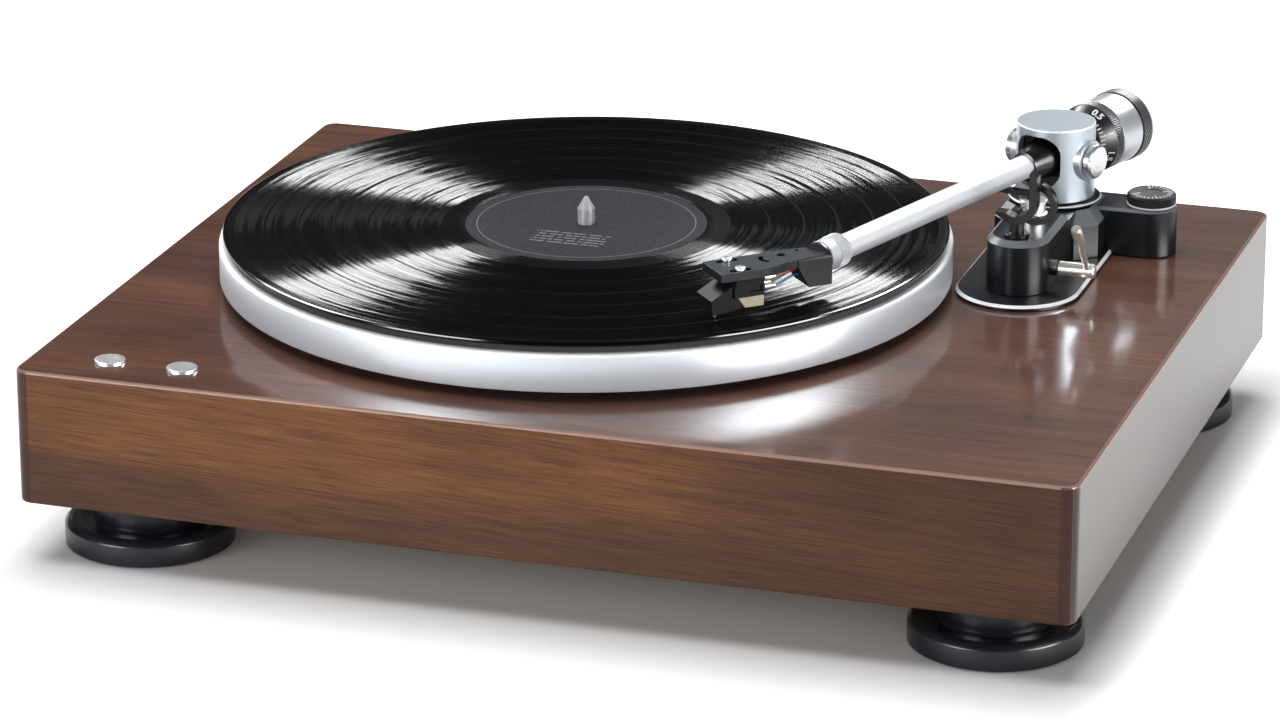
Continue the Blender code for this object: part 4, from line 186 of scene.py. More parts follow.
class Finish(Graph):
    """A material on one Principled shader."""

    def __init__(self, name, colour, roughness, metallic=0.0, **constants):
        self.material = bpy.data.materials.new(name)
        self.material.use_nodes = True
        super().__init__(self.material.node_tree)
        self.shader = self.tree.nodes["Principled BSDF"]
        self.feed("Base Color", (*colour, 1.0))
        self.feed("Roughness", roughness)
        self.feed("Metallic", metallic)
        for name_of_socket, value in constants.items():
            self.feed(name_of_socket.replace("_", " ").title().replace("Ior", "IOR"), value)

    def feed(self, name_of_socket, value):
        """Sets a socket of the shader, or links a wire to it."""
        socket = self.shader.inputs[name_of_socket]
        if isinstance(value, Wire):
            self.tree.links.new(value.socket, socket)
        else:
            socket.default_value = value

    def place(self):
        """Object coordinates, which are places on the turntable in metres."""
        return self.node("ShaderNodeTexCoord", out="Object")

    def facing(self, kind="Normal"):
        """The way that the surface faces."""
        return self.node("ShaderNodeNewGeometry", out=kind)

    def stretched(self, vector, scale, move=(0.0, 0.0, 0.0)):
        """The vector after a Mapping node's move and scale."""
        return self.node("ShaderNodeMapping", None, {"Vector": vector, "Location": move, "Scale": scale})

    def noise(self, vector, scale, detail=2.0, roughness=0.5):
        """Noise between 0 and 1."""
        return self.node("ShaderNodeTexNoise", None, {
            "Vector": vector, "Scale": scale, "Detail": detail, "Roughness": roughness})

    def scattered(self, value):
        """A random number for each value."""
        return self.node("ShaderNodeTexWhiteNoise", {"noise_dimensions": "1D"}, {"W": value})

    def mix(self, share, first, second, blend="MIX"):
        """A blend of two colours."""
        sockets = {0: share}
        for index, value in ((6, first), (7, second)):
            sockets[index] = (*value, 1.0) if isinstance(value, tuple) else value
        return self.node("ShaderNodeMix", {"data_type": "RGBA", "blend_type": blend}, sockets, out=2)

    def from_axis(self, centre, axis):
        """The way straight out from an axis, and how far out a place lies."""
        arm = self.vector("SUBTRACT", self.place(), tuple(centre))
        radial = self.vector("SUBTRACT", arm, self.vector("PROJECT", arm, tuple(axis)))
        return radial, self.vector("LENGTH", radial, out=1)

    def knurl_painted_light(self, centre, axis, crest, low, high):
        """Paints light on knurling: the low colour as shade in its grooves, the high colour as a highlight on
        its crests.
        """
        reach = self.from_axis(centre, axis)[1]
        self.feed("Base Color", self.mix(reach.between(crest - 0.00030, crest - 0.00006), low, high))

    def leaned(self, push):
        """Leans the surface by a vector in object space."""
        in_world = self.node("ShaderNodeVectorTransform", {"convert_from": "OBJECT", "convert_to": "WORLD"},
                             {0: push})
        leant = self.vector("ADD", self.facing(), in_world)
        self.feed("Normal", self.vector("NORMALIZE", leant))

    def lathed(self, centre, axis, lean, ring):
        """Leans the surface to and fro along the radius from ring to ring, as fine turning marks do."""
        radial, reach = self.from_axis(centre, axis)
        side = self.scattered(self.math("FLOOR", reach * (1.0 / ring)))
        outward = self.vector("NORMALIZE", radial)
        self.leaned(self.node("ShaderNodeVectorMath", {"operation": "SCALE"}, {
            0: outward, "Scale": (side - 0.5) * lean}))

    def bump(self, height, depth, strength=1.0):
        """Feeds a bump of this depth, in metres, to the shader."""
        self.feed("Normal", self.node("ShaderNodeBump", None, {
            "Height": height, "Distance": depth, "Strength": strength}))

    def grained(self, scale, depth, strength):
        """Roughens the surface with an even fine grain, and returns the finish."""
        self.bump(self.noise(self.place(), scale), depth, strength)
        return self


plinth_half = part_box("plinth")[1]
shadow_reach, side_shrink, camera_glow, gloss_glow, floor_half = 0.15, 26.0, 0.57, 0.32, 9.0
pale_floor = Finish("pale_floor", (0.93, 0.93, 0.93), 1.0, specular_ior_level=0.0)
floor_x, floor_y, _ = pale_floor.axes(pale_floor.place())
past_side = pale_floor.math("MAXIMUM", abs(floor_x) - plinth_half.x, 0.0)
past_end = pale_floor.math("MAXIMUM", abs(floor_y) - plinth_half.y, 0.0)
# Painted shadow: the floor's glow fades out within this reach of the plinth.
outside_painted_shadow = (past_side * past_side * side_shrink + past_end * past_end).root().between(0.0, shadow_reach)
glow = pale_floor.ray("Is Camera Ray") * camera_glow + pale_floor.ray("Is Glossy Ray") * gloss_glow
pale_floor.feed("Emission Color", pale_floor.mix(glow * outside_painted_shadow, (0.0, 0.0, 0.0), (1.0, 1.0, 1.0)))
pale_floor.feed("Emission Strength", 1.0)
floor_shape = bmesh.new()
bmesh.ops.create_grid(floor_shape, x_segments=1, y_segments=1, size=floor_half)
floor_mesh = bpy.data.meshes.new("floor")
floor_shape.to_mesh(floor_mesh)
floor_mesh.materials.append(pale_floor.material)
floor = bpy.data.objects.new("floor", floor_mesh)
bpy.context.scene.collection.objects.link(floor)

# Surroundings
# White to the camera. Gloss sees a horizon under a dark ceiling, bright on the near side and dim behind,
# as in a photographer's tent, with one dim sheet hung higher up behind. All else sees a fill that is
# strong near the horizon and weak overhead.
world = bpy.data.worlds.new("white_surround")
bpy.context.scene.world = world
world.use_nodes = True
sky = Graph(world.node_tree)
rightward_way, backward_way, upward = sky.axes(sky.node("ShaderNodeTexCoord", out="Generated"))
gloss = sky.ray("Is Glossy Ray")
shown = sky.ray("Is Camera Ray") + sky.ray("Is Transmission Ray")
fill_level, zenith_level, ceiling_level, far_level, sheet_level = 1.35, 0.14, 0.035, 0.03, 0.26
ceiling = upward.between(0.02, 0.17)
horizon = 1.0 - backward_way.between(-0.1, 0.35) * (1.0 - far_level)
sheet_height = upward.between(0.20, 0.27) * (1.0 - upward.between(0.36, 0.50))
sheet_width = rightward_way.between(-0.36, -0.16) * (1.0 - rightward_way.between(0.0, 0.2))
sheet = sheet_height * sheet_width * backward_way.between(0.5, 0.8)
gloss_level = horizon * (1.0 - ceiling) + ceiling * ceiling_level + sheet * sheet_level
fill = fill_level - upward.between(0.22, 0.50) * (fill_level - zenith_level)
level = shown + gloss * gloss_level + (1.0 - shown - gloss) * fill
surround = world.node_tree.nodes["Background"]
surround.inputs["Color"].default_value = (1.0, 1.0, 1.0, 1.0)
world.node_tree.links.new(level.socket, surround.inputs["Strength"])


# Feet
# Four wide turned feet in satin black, each a disc with a bevelled rim on a narrower neck.
# They are screwed up into the bottom board.
def turned(profile, steps, closed=False):
    """Spins a profile of (radius, height) points about the upright axis."""
    shape = bmesh.new()
    points = [shape.verts.new((radius, 0.0, height)) for radius, height in profile]
    lines = [shape.edges.new(pair) for pair in zip(points, points[1:])]
    if closed:
        lines.append(shape.edges.new((points[-1], points[0])))
    bmesh.ops.spin(shape, geom=points + lines, cent=(0, 0, 0), axis=(0, 0, 1), angle=2 * math.pi,
                   steps=steps, use_merge=True)
    bmesh.ops.remove_doubles(shape, verts=shape.verts, dist=1e-6)
    bmesh.ops.recalc_face_normals(shape, faces=shape.faces)
    return shape


def evened(piece):
    """Weighs a piece's normals by its faces, so that the large ones stay flat beside the small ones."""
    weighted = piece.modifiers.new("evened", "WEIGHTED_NORMAL")
    weighted.keep_sharp = True


def settled(name, shape, finish, body, nodes=(), place=None, sharp=32.0, edge=0.0, trim=None):
    """Makes a finished piece that rides on a body and stands for its CAD nodes.

    Its edges are eased if asked, and faces marked for a second finish get the trim.
    """
    if place is not None:
        bmesh.ops.transform(shape, matrix=place, verts=shape.verts)
    mesh = bpy.data.meshes.new(name)
    shape.to_mesh(mesh)
    shape.free()
    mesh.shade_smooth()
    mesh.set_sharp_from_angle(angle=math.radians(sharp))
    mesh.materials.append(finish.material)
    made = bpy.data.objects.new(name, mesh)
    bpy.context.scene.collection.objects.link(made)
    if edge:
        easing = made.modifiers.new("easing", "BEVEL")
        easing.width = edge
        easing.segments = 2
        easing.limit_method = "ANGLE"
        easing.angle_limit = math.radians(28)
        evened(made)
    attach(made, body)
    if nodes:
        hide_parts(*nodes)
    if trim:
        mesh.materials.append(trim.material)
    return made


def upright(node):
    """Where a CAD node's upright axis stands, and the heights of its bottom and its top."""
    low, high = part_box(node)
    return Matrix.Translation(((low.x + high.x) / 2, (low.y + high.y) / 2, 0.0)), low.z, high.z


satin_black = Finish("foot_satin_black", (0.009, 0.011, 0.016), 0.27, specular_ior_level=0.38)
satin_black.grained(2400.0, 0.00004, 0.25)
foot_radius, foot_disc, foot_neck = 0.0345, 0.0113, 0.022
foot_rim, foot_edge, foot_recess = 0.0022, 0.0008, 0.0012
foot_land, rim_start, dish_floor = foot_radius - foot_rim, foot_disc - foot_rim, foot_disc - foot_recess
for end in ("front", "rear"):
    for side in ("left", "right"):
        node = f"foot_{end}_{side}"
        foot_place, _, foot_top = upright(node)
        profile = [
            (0.0, 0.0), (foot_radius - 2 * foot_edge, 0.0), (foot_radius - foot_edge, foot_edge / 3),
            (foot_radius, foot_edge), (foot_radius, rim_start - foot_edge / 2),
            (foot_radius - foot_edge / 6, rim_start), (foot_land + foot_edge / 3, foot_disc - foot_edge / 4),
            (foot_land - foot_edge / 3, foot_disc), (foot_radius - 2.6 * foot_rim, foot_disc),
            (foot_radius - 2.9 * foot_rim, foot_disc - foot_edge / 4),
            (foot_radius - 3.2 * foot_rim, dish_floor), (foot_neck + foot_edge, dish_floor),
            (foot_neck, dish_floor + foot_edge), (foot_neck, foot_top), (0.0, foot_top),
        ]
        settled(f"{end}_{side}_foot", turned(profile, 128), satin_black, "chassis", (node,),
                foot_place)

# Bottom board
# Raw fibreboard, speckled with chips of fibre. It is cut to the inside of the plinth, let in flush with the
# underside, and carries the feet.
board = Finish("fibreboard_raw", (0.3, 0.2, 0.12), 0.85)
chips = board.noise(board.place(), 260.0, 4.0, 0.7)
board.feed("Base Color", board.mix(chips.between(0.35, 0.65), (0.19, 0.12, 0.07), (0.36, 0.25, 0.15)))
board.bump(chips, 0.0002, 0.4)


def painted(finish, *nodes):
    """Gives CAD nodes whose shape is right their finish."""
    for name in nodes:
        for material_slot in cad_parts[name].material_slots:
            material_slot.material = finish.material


painted(board, "bottom_board")

# Plinth
# A box veneered in dark walnut under clear gloss lacquer. The figure runs along the front and the top,
# and from front to back on the two sides. The two lamps behind don't light it, as the lacquer would glare.
def copied(node):
    """A merged copy of a CAD node's mesh."""
    shape = bmesh.new()
    shape.from_mesh(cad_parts[node].data)
    bmesh.ops.remove_doubles(shape, verts=shape.verts, dist=1e-6)
    bmesh.ops.dissolve_limit(shape, angle_limit=math.radians(0.5), verts=shape.verts, edges=shape.edges)
    return shape


walnut = Finish("walnut_lacquered", (0.2, 0.08, 0.03), 0.45, coat_weight=1.0, coat_roughness=0.12,
                coat_ior=1.5, specular_ior_level=0.08)
upright_face, front_leaf, side_leaf, leaf_slope, height_stretch = 0.72, 0.31, 0.67, 0.05, 1.1
spot_x, spot_y, spot_z = walnut.axes(walnut.place())
face_x, face_y, _ = walnut.axes(walnut.facing())
on_side = abs(face_x) > upright_face
on_end = abs(face_y) > upright_face
on_top = (1.0 - on_end) * (1.0 - on_side)
along = spot_x + (spot_y - spot_x) * on_side
up_face = spot_z * height_stretch
across = spot_y + (up_face + spot_x * leaf_slope + front_leaf - spot_y) * on_end
across = across + (up_face + side_leaf - across) * on_side
lay = walnut.joined(along, across, on_side * 0.5)
waver = walnut.noise(walnut.stretched(lay, (3.0, 6.0, 1.0)), 1.0, 3.0, 0.6)
rings = walnut.joined(along * 0.8, across * 34.0 + waver * 4.0, on_side * 3.0 + on_end * 7.0)
figure = walnut.noise(rings, 1.0, 4.0, 0.6)
streak = walnut.noise(walnut.stretched(lay, (7.0, 340.0, 1.0)), 1.0, 4.0, 0.65)
fine = walnut.noise(walnut.stretched(lay, (40.0, 1900.0, 1.0)), 1.0, 3.0, 0.6)
cloud = walnut.noise(walnut.stretched(lay, (9.0, 15.0, 1.0), (3.4, 1.2, 0.0)), 1.0, 3.0).between(0.30, 0.66)
tone = figure * (0.36 - on_end * 0.08) + streak * (0.29 - on_end * 0.05) + fine * (0.35 + on_end * 0.13)
brown = walnut.node("ShaderNodeValToRGB", {"stops": [
    (0.32, (0.048, 0.0155, 0.0072)), (0.43, (0.098, 0.034, 0.0135)), (0.51, (0.150, 0.055, 0.021)),
    (0.60, (0.205, 0.082, 0.031)), (0.72, (0.270, 0.120, 0.047))]}, {0: tone})
top_warmth = walnut.mix(cloud, (0.57, 0.55, 0.59), (0.90, 0.90, 0.90))
end_warmth = walnut.mix(cloud, (0.78, 0.76, 0.60), (1.34, 1.33, 0.98))
veneer = walnut.mix(1.0, brown, walnut.mix(on_end, top_warmth, end_warmth), "MULTIPLY")
pores = (1.0 - fine.between(0.34, 0.42)) * (1.0 - on_side)
veneer = walnut.mix(pores * 0.45, veneer, (0.034, 0.011, 0.005))
# Painted shade: the front darkens towards its right, and the sides are darkened all over.
painted_shade_right = on_end * (spot_x.between(-0.02, 0.20) * 0.56 + 0.05)
veneer = walnut.mix(painted_shade_right + on_side * 0.7, veneer, (0.012, 0.005, 0.003))
# Darker along the bottom of the front, towards its left, wavering with the figure: painted shade near the
# floor, and the veneer's own dark smudges.
low_shade_smudge = (1.0 - (spot_z + (figure - 0.5) * 0.04).between(0.030, 0.056)) * on_end
veneer = walnut.mix(low_shade_smudge * (1.0 - spot_x.between(0.03, 0.14)) * 0.5, veneer, (0.026, 0.014, 0.011))
# Painted reflection: a faint blue-grey veil over the top, as the lacquer would mirror the surroundings.
veneer = walnut.mix(on_top * 0.08, veneer, (0.24, 0.25, 0.31))
# Painted highlight: the eased edges, which lean between upright and flat, are paler.
slant = walnut.axes(walnut.facing("True Normal"))[2]
painted_edge_highlight = slant.between(0.15, 0.3) * (1.0 - slant.between(0.90, 0.97))
veneer = walnut.mix(painted_edge_highlight * 0.75, veneer, (0.40, 0.26, 0.21))
# Painted shade: a dark strip down the front where it rounds into each side.
strip_width, strip_blend = 0.0065, 0.0003
strip_start = plinth_half.x - strip_width
corner_shade = on_end * abs(spot_x).between(strip_start, strip_start + strip_blend)
walnut.feed("Base Color", walnut.mix(corner_shade * 0.7, veneer, (0.035, 0.010, 0.005)))
walnut.feed("Coat Weight", 1.0 - on_end * 0.65 - on_side * 0.14)
walnut.bump((streak * 0.5 + fine * 0.5) * (1.0 - on_side), 0.00005, 0.10)
plinth_box = settled("plinth_box", copied("plinth"), walnut, "chassis", ("plinth",),
                     sharp=50.0)
evened(plinth_box)
spared = bpy.data.collections.new("spared_by_glints")
spared.objects.link(plinth_box)
spared.collection_objects[0].light_linking.link_state = "EXCLUDE"
for lamp in back_glints:
    lamp.light_linking.receiver_collection = spared

# Push buttons
# Two turned aluminium buttons, their tops faced on the lathe so that light lies on them as a fan. They
# are sprung, in two bores at the front left of the plinth.
button_radius, button_edge, button_sunk, button_dish, button_foot = 0.0063, 0.0004, 0.0013, 0.0002, 0.006
for side in ("left", "right"):
    node = f"button_{side}"
    button_place, button_bottom, button_high = upright(node)
    button_top, button_base = button_high - button_sunk, button_bottom + button_foot
    profile = [
        (0.0, button_top - button_dish), (button_radius * 0.5, button_top - 0.75 * button_dish),
        (button_radius - 1.6 * button_edge, button_top),
        (button_radius - 0.5 * button_edge, button_top - 0.2 * button_edge),
        (button_radius, button_top - button_edge), (button_radius, button_base), (0.0, button_base),
    ]
    spun_metal = Finish(f"{side}_button_spun_aluminium", (0.70, 0.71, 0.72), 0.28, 0.85)
    spun_metal.lathed(button_place.translation, (0, 0, 1), 0.20, 0.00020)
    settled(f"{side}_button_cap", turned(profile, 64), spun_metal, f"{side}_button",
            (node,), button_place)

# Connectors
# A black panel with two gold-plated signal jacks, an earth post with its nut, and a power inlet. It is
# fixed from inside, behind a window in the back wall of the plinth.
moulded = Finish("moulded_black", (0.016, 0.016, 0.018), 0.42).grained(3000.0, 0.00004, 0.3)
gold = Finish("gold_plated", (0.83, 0.62, 0.28), 0.22, 1.0).grained(900.0, 0.00003, 0.2)
painted(moulded, "connector_panel", "power_inlet", "stop_sensor")
painted(gold, "signal_jack_left", "signal_jack_right", "earth_post", "earth_nut")

# Motor, belt and boards
# A plated motor can on its bracket, a brass pulley, the flat rubber belt that runs round the ring under the
# platter, and green circuit boards inside the plinth.
plated = Finish("plated_can", (0.6, 0.6, 0.6), 0.3, 1.0).grained(400.0, 0.00005, 0.2)
turned_brass = Finish("turned_brass", (0.75, 0.55, 0.25), 0.28, 1.0).grained(600.0, 0.00005, 0.2)
belt_rubber = Finish("belt_rubber", (0.02, 0.02, 0.022), 0.6).grained(1500.0, 0.00005, 0.3)
laminate = Finish("board_laminate", (0.02, 0.13, 0.06), 0.4)
traces = laminate.noise(laminate.place(), 220.0, 1.0).between(0.52, 0.55)
laminate.feed("Base Color", laminate.mix(traces, (0.016, 0.10, 0.045), (0.03, 0.17, 0.08)))
painted(plated, "motor", "motor_bracket")
painted(turned_brass, "motor_pulley", "bearing_bush")
painted(belt_rubber, "drive_belt")
painted(laminate, "switch_board", "control_board")

# Platter
# Cast and turned aluminium with a satin rim, and a painted highlight along the bead round its top. It has a
# deep skirt, with the belt's ring and the hub underneath.
disc_place, platter_bottom, platter_top = upright("platter")
centre_x, centre_y, _ = disc_place.translation
satin_metal = Finish("platter_satin_aluminium", (0.82, 0.85, 0.88), 0.38, 0.38)
height_on_rim = satin_metal.axes(satin_metal.place())[2]
satin_metal.bump(satin_metal.noise(satin_metal.joined(0.0, 0.0, height_on_rim * 5200.0), 1.0), 0.00003, 0.30)
# Painted highlight: the bead round the top of the rim is paler and less metallic than the rest.
bead_highlight = height_on_rim.between(platter_top - 0.0016, platter_top - 0.0011)
satin_metal.feed("Base Color", satin_metal.mix(bead_highlight, (0.75, 0.81, 0.87), (0.98, 0.99, 1.0)))
satin_metal.feed("Metallic", 0.42 - bead_highlight * 0.38)
platter_radius, rim_edge, skirt, platter_deck, disc_bore = 0.1524, 0.0010, 0.0058, 0.0045, 0.0039
ring_radius, ring_wall, ring_short, hub_radius, hub_short = 0.066, 0.005, 0.0009, 0.014, 0.0005
deck_under = platter_top - platter_deck
ring_bottom, hub_bottom = platter_bottom + ring_short, platter_bottom + hub_short
profile = [
    (disc_bore, platter_top), (platter_radius - 1.6 * rim_edge, platter_top),
    (platter_radius - 0.6 * rim_edge, platter_top - 0.25 * rim_edge),
    (platter_radius - 0.15 * rim_edge, platter_top - 0.7 * rim_edge),
    (platter_radius, platter_top - 1.3 * rim_edge), (platter_radius, platter_bottom + rim_edge),
    (platter_radius - 0.3 * rim_edge, platter_bottom + 0.3 * rim_edge),
    (platter_radius - rim_edge, platter_bottom), (platter_radius - skirt, platter_bottom),
    (platter_radius - skirt, deck_under), (ring_radius, deck_under), (ring_radius, ring_bottom),
    (ring_radius - ring_wall, ring_bottom), (ring_radius - ring_wall, deck_under), (hub_radius, deck_under),
    (hub_radius, hub_bottom), (disc_bore, hub_bottom),
]
settled("platter_casting", turned(profile, 320, closed=True), satin_metal, "platter_assembly",
        ("platter",), disc_place)

# Mat
# Thin black felt, cut as a disc and laid on the platter. It shows as a dark line between the platter's rim
# and the record.
felt = Finish("mat_felt", (0.012, 0.012, 0.012), 0.95, sheen_weight=0.25)
felt.bump(felt.noise(felt.place(), 1800.0, 3.0, 0.7), 0.0002, 0.5)
_, mat_bottom, mat_top = upright("platter_mat")
mat_radius, mat_edge = 0.1492, 0.0003
profile = [(disc_bore, mat_bottom), (mat_radius, mat_bottom), (mat_radius, mat_top - mat_edge),
           (mat_radius - mat_edge, mat_top), (disc_bore, mat_top)]
settled("felt_mat", turned(profile, 256, closed=True), felt, "platter_assembly", ("platter_mat",),
        disc_place)

# Record
# Pressed black vinyl: a raised rim, six bands of grooves parted by smooth gaps, and a run-out by the label.
# The groove walls lean along the radius only, which draws the light out into streaks.
record_rim, lead_in, run_out, label_edge = 0.1508, 0.1462, 0.0600, 0.0503
band_gaps, lead_pitch = (0.1335, 0.1195, 0.1045, 0.0905, 0.0760), 0.0013
vinyl = Finish("vinyl_grooved", (0.0010, 0.0012, 0.0019), 0.125, specular_ior_level=0.38)
vinyl_x, vinyl_y, _ = vinyl.axes(vinyl.place())
out_x, out_y = vinyl_x - centre_x, vinyl_y - centre_y
reach = (out_x * out_x + out_y * out_y).root()
bearing = vinyl.math("ARCTAN2", out_y, out_x)
grooved = reach.between(run_out - 0.0002, run_out + 0.0002)
grooved = grooved * (1.0 - reach.between(lead_in, lead_in + 0.0003))
for gap in band_gaps:
    grooved = grooved * abs(reach - gap).between(0.0003, 0.0006)
lead_groove = (reach * (2 * math.pi / lead_pitch)).wave().between(0.90, 0.98)
wall_side = (vinyl.scattered(reach * 19000.0) > 0.5) * 2.0 - 1.0
loudness = vinyl.noise(vinyl.joined(reach * 420.0, bearing * 0.9), 1.0, 5.0, 0.75).between(0.40, 0.60)
grain = vinyl.noise(vinyl.joined(reach * 1800.0, bearing * 12.0), 1.0)
wall_lean = 0.56 + (loudness - 0.5) * 0.38 + (grain - 0.5) * 0.10
flat_lean = 0.02 + lead_groove * 0.35
lean = wall_side * (wall_lean * grooved + flat_lean * (1.0 - grooved))
vinyl.leaned(vinyl.joined(out_x / reach * lean, out_y / reach * lean))
_, record_bottom, record_top = upright("record")
groove_top, label_seat = record_top - 0.00025, record_top - 0.0005
profile = [
    (disc_bore, record_bottom), (record_rim - 0.0008, record_bottom),
    (record_rim - 0.0002, record_bottom + 0.0004), (record_rim, record_bottom + 0.0009),
    (record_rim - 0.0002, record_top - 0.0004), (record_rim - 0.0008, record_top - 0.00005),
    (record_rim - 0.0016, record_top), (record_rim - 0.0032, groove_top + 0.00005),
    (record_rim - 0.0045, groove_top), (0.0560, groove_top), (0.0545, groove_top + 0.00010),
    (label_edge + 0.0004, record_top - 0.00002), (label_edge, record_top - 0.00008),
    (label_edge, label_seat), (disc_bore, label_seat),
]
settled("record_disc", turned(profile, 320, closed=True), vinyl, "platter_assembly", ("record",),
        disc_place)

# Record label
# Dark grey paper pressed into the vinyl, with a faint pressed ring, a thin printed ring, and plain broken
# lines where a label has its words.
pressed_radius, printed_radius, line_pitch = 0.0348, 0.0455, 3.2
paper = Finish("label_grey_paper", (0.030, 0.031, 0.036), 0.6, specular_ior_level=0.03)
paper_x, paper_y, _ = paper.axes(paper.place())
aside, behind = paper_x - centre_x, paper_y - centre_y
paper_reach = (aside * aside + behind * behind).root()
pressed_ring = 1.0 - abs(paper_reach - pressed_radius).between(0.00015, 0.0005)
printed_ring = 1.0 - abs(paper_reach - printed_radius).between(0.00010, 0.00022)
fibre = paper.noise(paper.place(), 1500.0, 4.0, 0.7)
paper_tone = paper.mix(fibre.between(0.3, 0.7), (0.018, 0.019, 0.022), (0.052, 0.054, 0.060))
millimetres_in_front = behind * -1000.0
line = millimetres_in_front / line_pitch
lines = paper.math("FRACT", line).between(0.62, 0.66) * millimetres_in_front.between(14.0, 14.2)
lines = lines * (1.0 - millimetres_in_front.between(30.2, 30.4)) * (1.0 - abs(aside).between(0.0158, 0.0160))
words = paper.noise(paper.joined(aside * 420.0, paper.math("FLOOR", line) * 7.0), 1.0, 1.0)
print_share = printed_ring * 0.5 + lines * words.between(0.44, 0.47) * 0.4
paper.feed("Base Color", paper.mix(print_share, paper_tone, (0.42, 0.42, 0.43)))
paper.bump(fibre * 0.3 - pressed_ring, 0.00012, 0.5)
_, label_bottom, label_top = upright("record_label")
label_radius = 0.0502
profile = [(disc_bore, label_bottom), (label_radius, label_bottom), (label_radius, label_top - 0.00005),
           (label_radius - 0.0001, label_top), (disc_bore, label_top)]
settled("label_disc", turned(profile, 160, closed=True), paper, "platter_assembly",
        ("record_label",), disc_place)

# Spindle
# Polished steel: the pin has a long blunt cone and stands through the record. The flange and the shaft are
# below. It doesn't show in the gloss of the pieces round it.
polished = Finish("polished_steel", (0.90, 0.91, 0.93), 0.22, 0.6)
polished.bump(polished.noise(polished.stretched(polished.place(), (60.0, 60.0, 2600.0)), 1.0), 0.00003, 0.25)
_, shaft_bottom, pin_top = upright("platter_spindle")
pin_radius, cone, shaft_radius, flange_radius = 0.0036, 0.005, 0.004, 0.0125
flange_bottom, flange_top = 0.0840, 0.0862
cone_foot = pin_top - cone
profile = [
    (0.0, pin_top), (0.0005, pin_top - 0.0001), (0.0010, pin_top - 0.0006),
    (pin_radius - 0.0004, cone_foot + 0.0004), (pin_radius, cone_foot - 0.0002), (pin_radius, flange_top),
    (flange_radius, flange_top), (flange_radius, flange_bottom), (shaft_radius, flange_bottom),
    (shaft_radius, shaft_bottom), (0.0, shaft_bottom),
]
spindle = settled("spindle_pin", turned(profile, 64), polished, "platter_assembly",
                  ("platter_spindle",), disc_place)
spindle.visible_glossy = False

# Arm base
# A black plate with a bright machined chamfer carries one black casting: an octagonal body with tapered
# shoulders, a round-nosed lobe in front and an outrigger on the right. A turned ring closes its top.
def arc(centre, radius, start, end, steps):
    """Points along an arc, both ends included."""
    turns = [start + (end - start) * step / steps for step in range(steps + 1)]
    return [(centre[0] + radius * math.cos(turn), centre[1] + radius * math.sin(turn)) for turn in turns]


def prism(outline, low, high, narrow=1.0):
    """Raises a flat outline between two heights, drawn in towards the axis at the top if asked."""
    shape = bmesh.new()
    base = shape.faces.new([shape.verts.new((x, y, low)) for x, y in outline])
    grown = bmesh.ops.extrude_face_region(shape, geom=[base])
    lifted = [item for item in grown["geom"] if isinstance(item, bmesh.types.BMVert)]
    bmesh.ops.scale(shape, verts=lifted, vec=(narrow, narrow, 1))
    bmesh.ops.translate(shape, verts=lifted, vec=(0, 0, high - low))
    bmesh.ops.recalc_face_normals(shape, faces=shape.faces)
    return shape


def rimmed(shape, height, width):
    """Bevels the edges round the flat face at one height."""
    def level(point):
        return abs(point.co.z - height) < 1e-6
    rim = [edge for edge in shape.edges if all(level(end) for end in edge.verts)
           and not all(all(level(point) for point in face.verts) for face in edge.link_faces)]
    bmesh.ops.bevel(shape, geom=rim, offset=width, segments=1, affect="EDGES", profile=0.5, material=-1)
    return shape


def rod(radius, low, high, steps, x=0.0, y=0.0):
    """An upright round bar at a place."""
    shape = bmesh.new()
    bmesh.ops.create_cone(shape, cap_ends=True, segments=steps, radius1=radius, radius2=radius,
                          depth=high - low, matrix=Matrix.Translation((x, y, (low + high) / 2)))
    return shape


def block(low, high):
    """A plain block between two corners."""
    outline = [(low[0], low[1]), (high[0], low[1]), (high[0], high[1]), (low[0], high[1])]
    return prism(outline, low[2], high[2])


def moved(shape, matrix):
    """Moves a shape by a matrix."""
    bmesh.ops.transform(shape, matrix=matrix, verts=shape.verts)
    return shape


def carved(shape, joined=(), cutters=()):
    """Joins closed shapes onto a shape, then cuts others out of it."""
    def stood(form):
        mesh = bpy.data.meshes.new("working")
        form.to_mesh(mesh)
        form.free()
        made = bpy.data.objects.new("working", mesh)
        bpy.context.scene.collection.objects.link(made)
        return made
    working = [stood(shape)]
    for forms, operation in ((joined, "UNION"), (cutters, "DIFFERENCE")):
        for form in forms:
            working.append(stood(form))
            step = working[0].modifiers.new("step", "BOOLEAN")
            step.operation = operation
            step.solver = "EXACT"
            step.object = working[-1]
    result = bmesh.new()
    result.from_object(working[0], bpy.context.evaluated_depsgraph_get())
    for made in working:
        bpy.data.objects.remove(made, do_unlink=True)
    bmesh.ops.remove_doubles(result, verts=result.verts, dist=2e-6)
    bmesh.ops.dissolve_limit(result, angle_limit=math.radians(0.3), verts=result.verts, edges=result.edges)
    return result


def bright_bevels(shape, top, depth):
    """Marks the slanted faces near the top for a piece's second finish."""
    shape.normal_update()
    for face in shape.faces:
        if 0.2 < face.normal.z < 0.97 and face.calc_center_median().z > top - depth:
            face.material_index = 1


pivot = Vector((0.1403, 0.0995, 0.1239))
base_place = Matrix.Translation((pivot.x, pivot.y, 0.0))
forward = Matrix.Rotation(math.radians(90), 4, "X")
backward = Matrix.Rotation(math.radians(-90), 4, "X")
rightward = Matrix.Rotation(math.radians(90), 4, "Y")
leftward = Matrix.Rotation(math.radians(-90), 4, "Y")
seat_gap, overrun = 0.0003, 0.002

black_enamel = Finish("casting_black", (0.0065, 0.0075, 0.010), 0.30, specular_ior_level=0.32)
black_enamel.grained(2600.0, 0.00003, 0.25)
bright_edge = Finish("machined_edge", (0.94, 0.95, 0.97), 0.28, 0.15).grained(3000.0, 0.00002, 0.2)
# Painted reflection: the casting's slanted faces get a pale blue-grey, as if they caught the light overhead.
casting_sheen = Finish("casting_edge_painted_sheen", (0.15, 0.165, 0.185), 0.36, 0.2).grained(2600.0, 0.00003, 0.25)

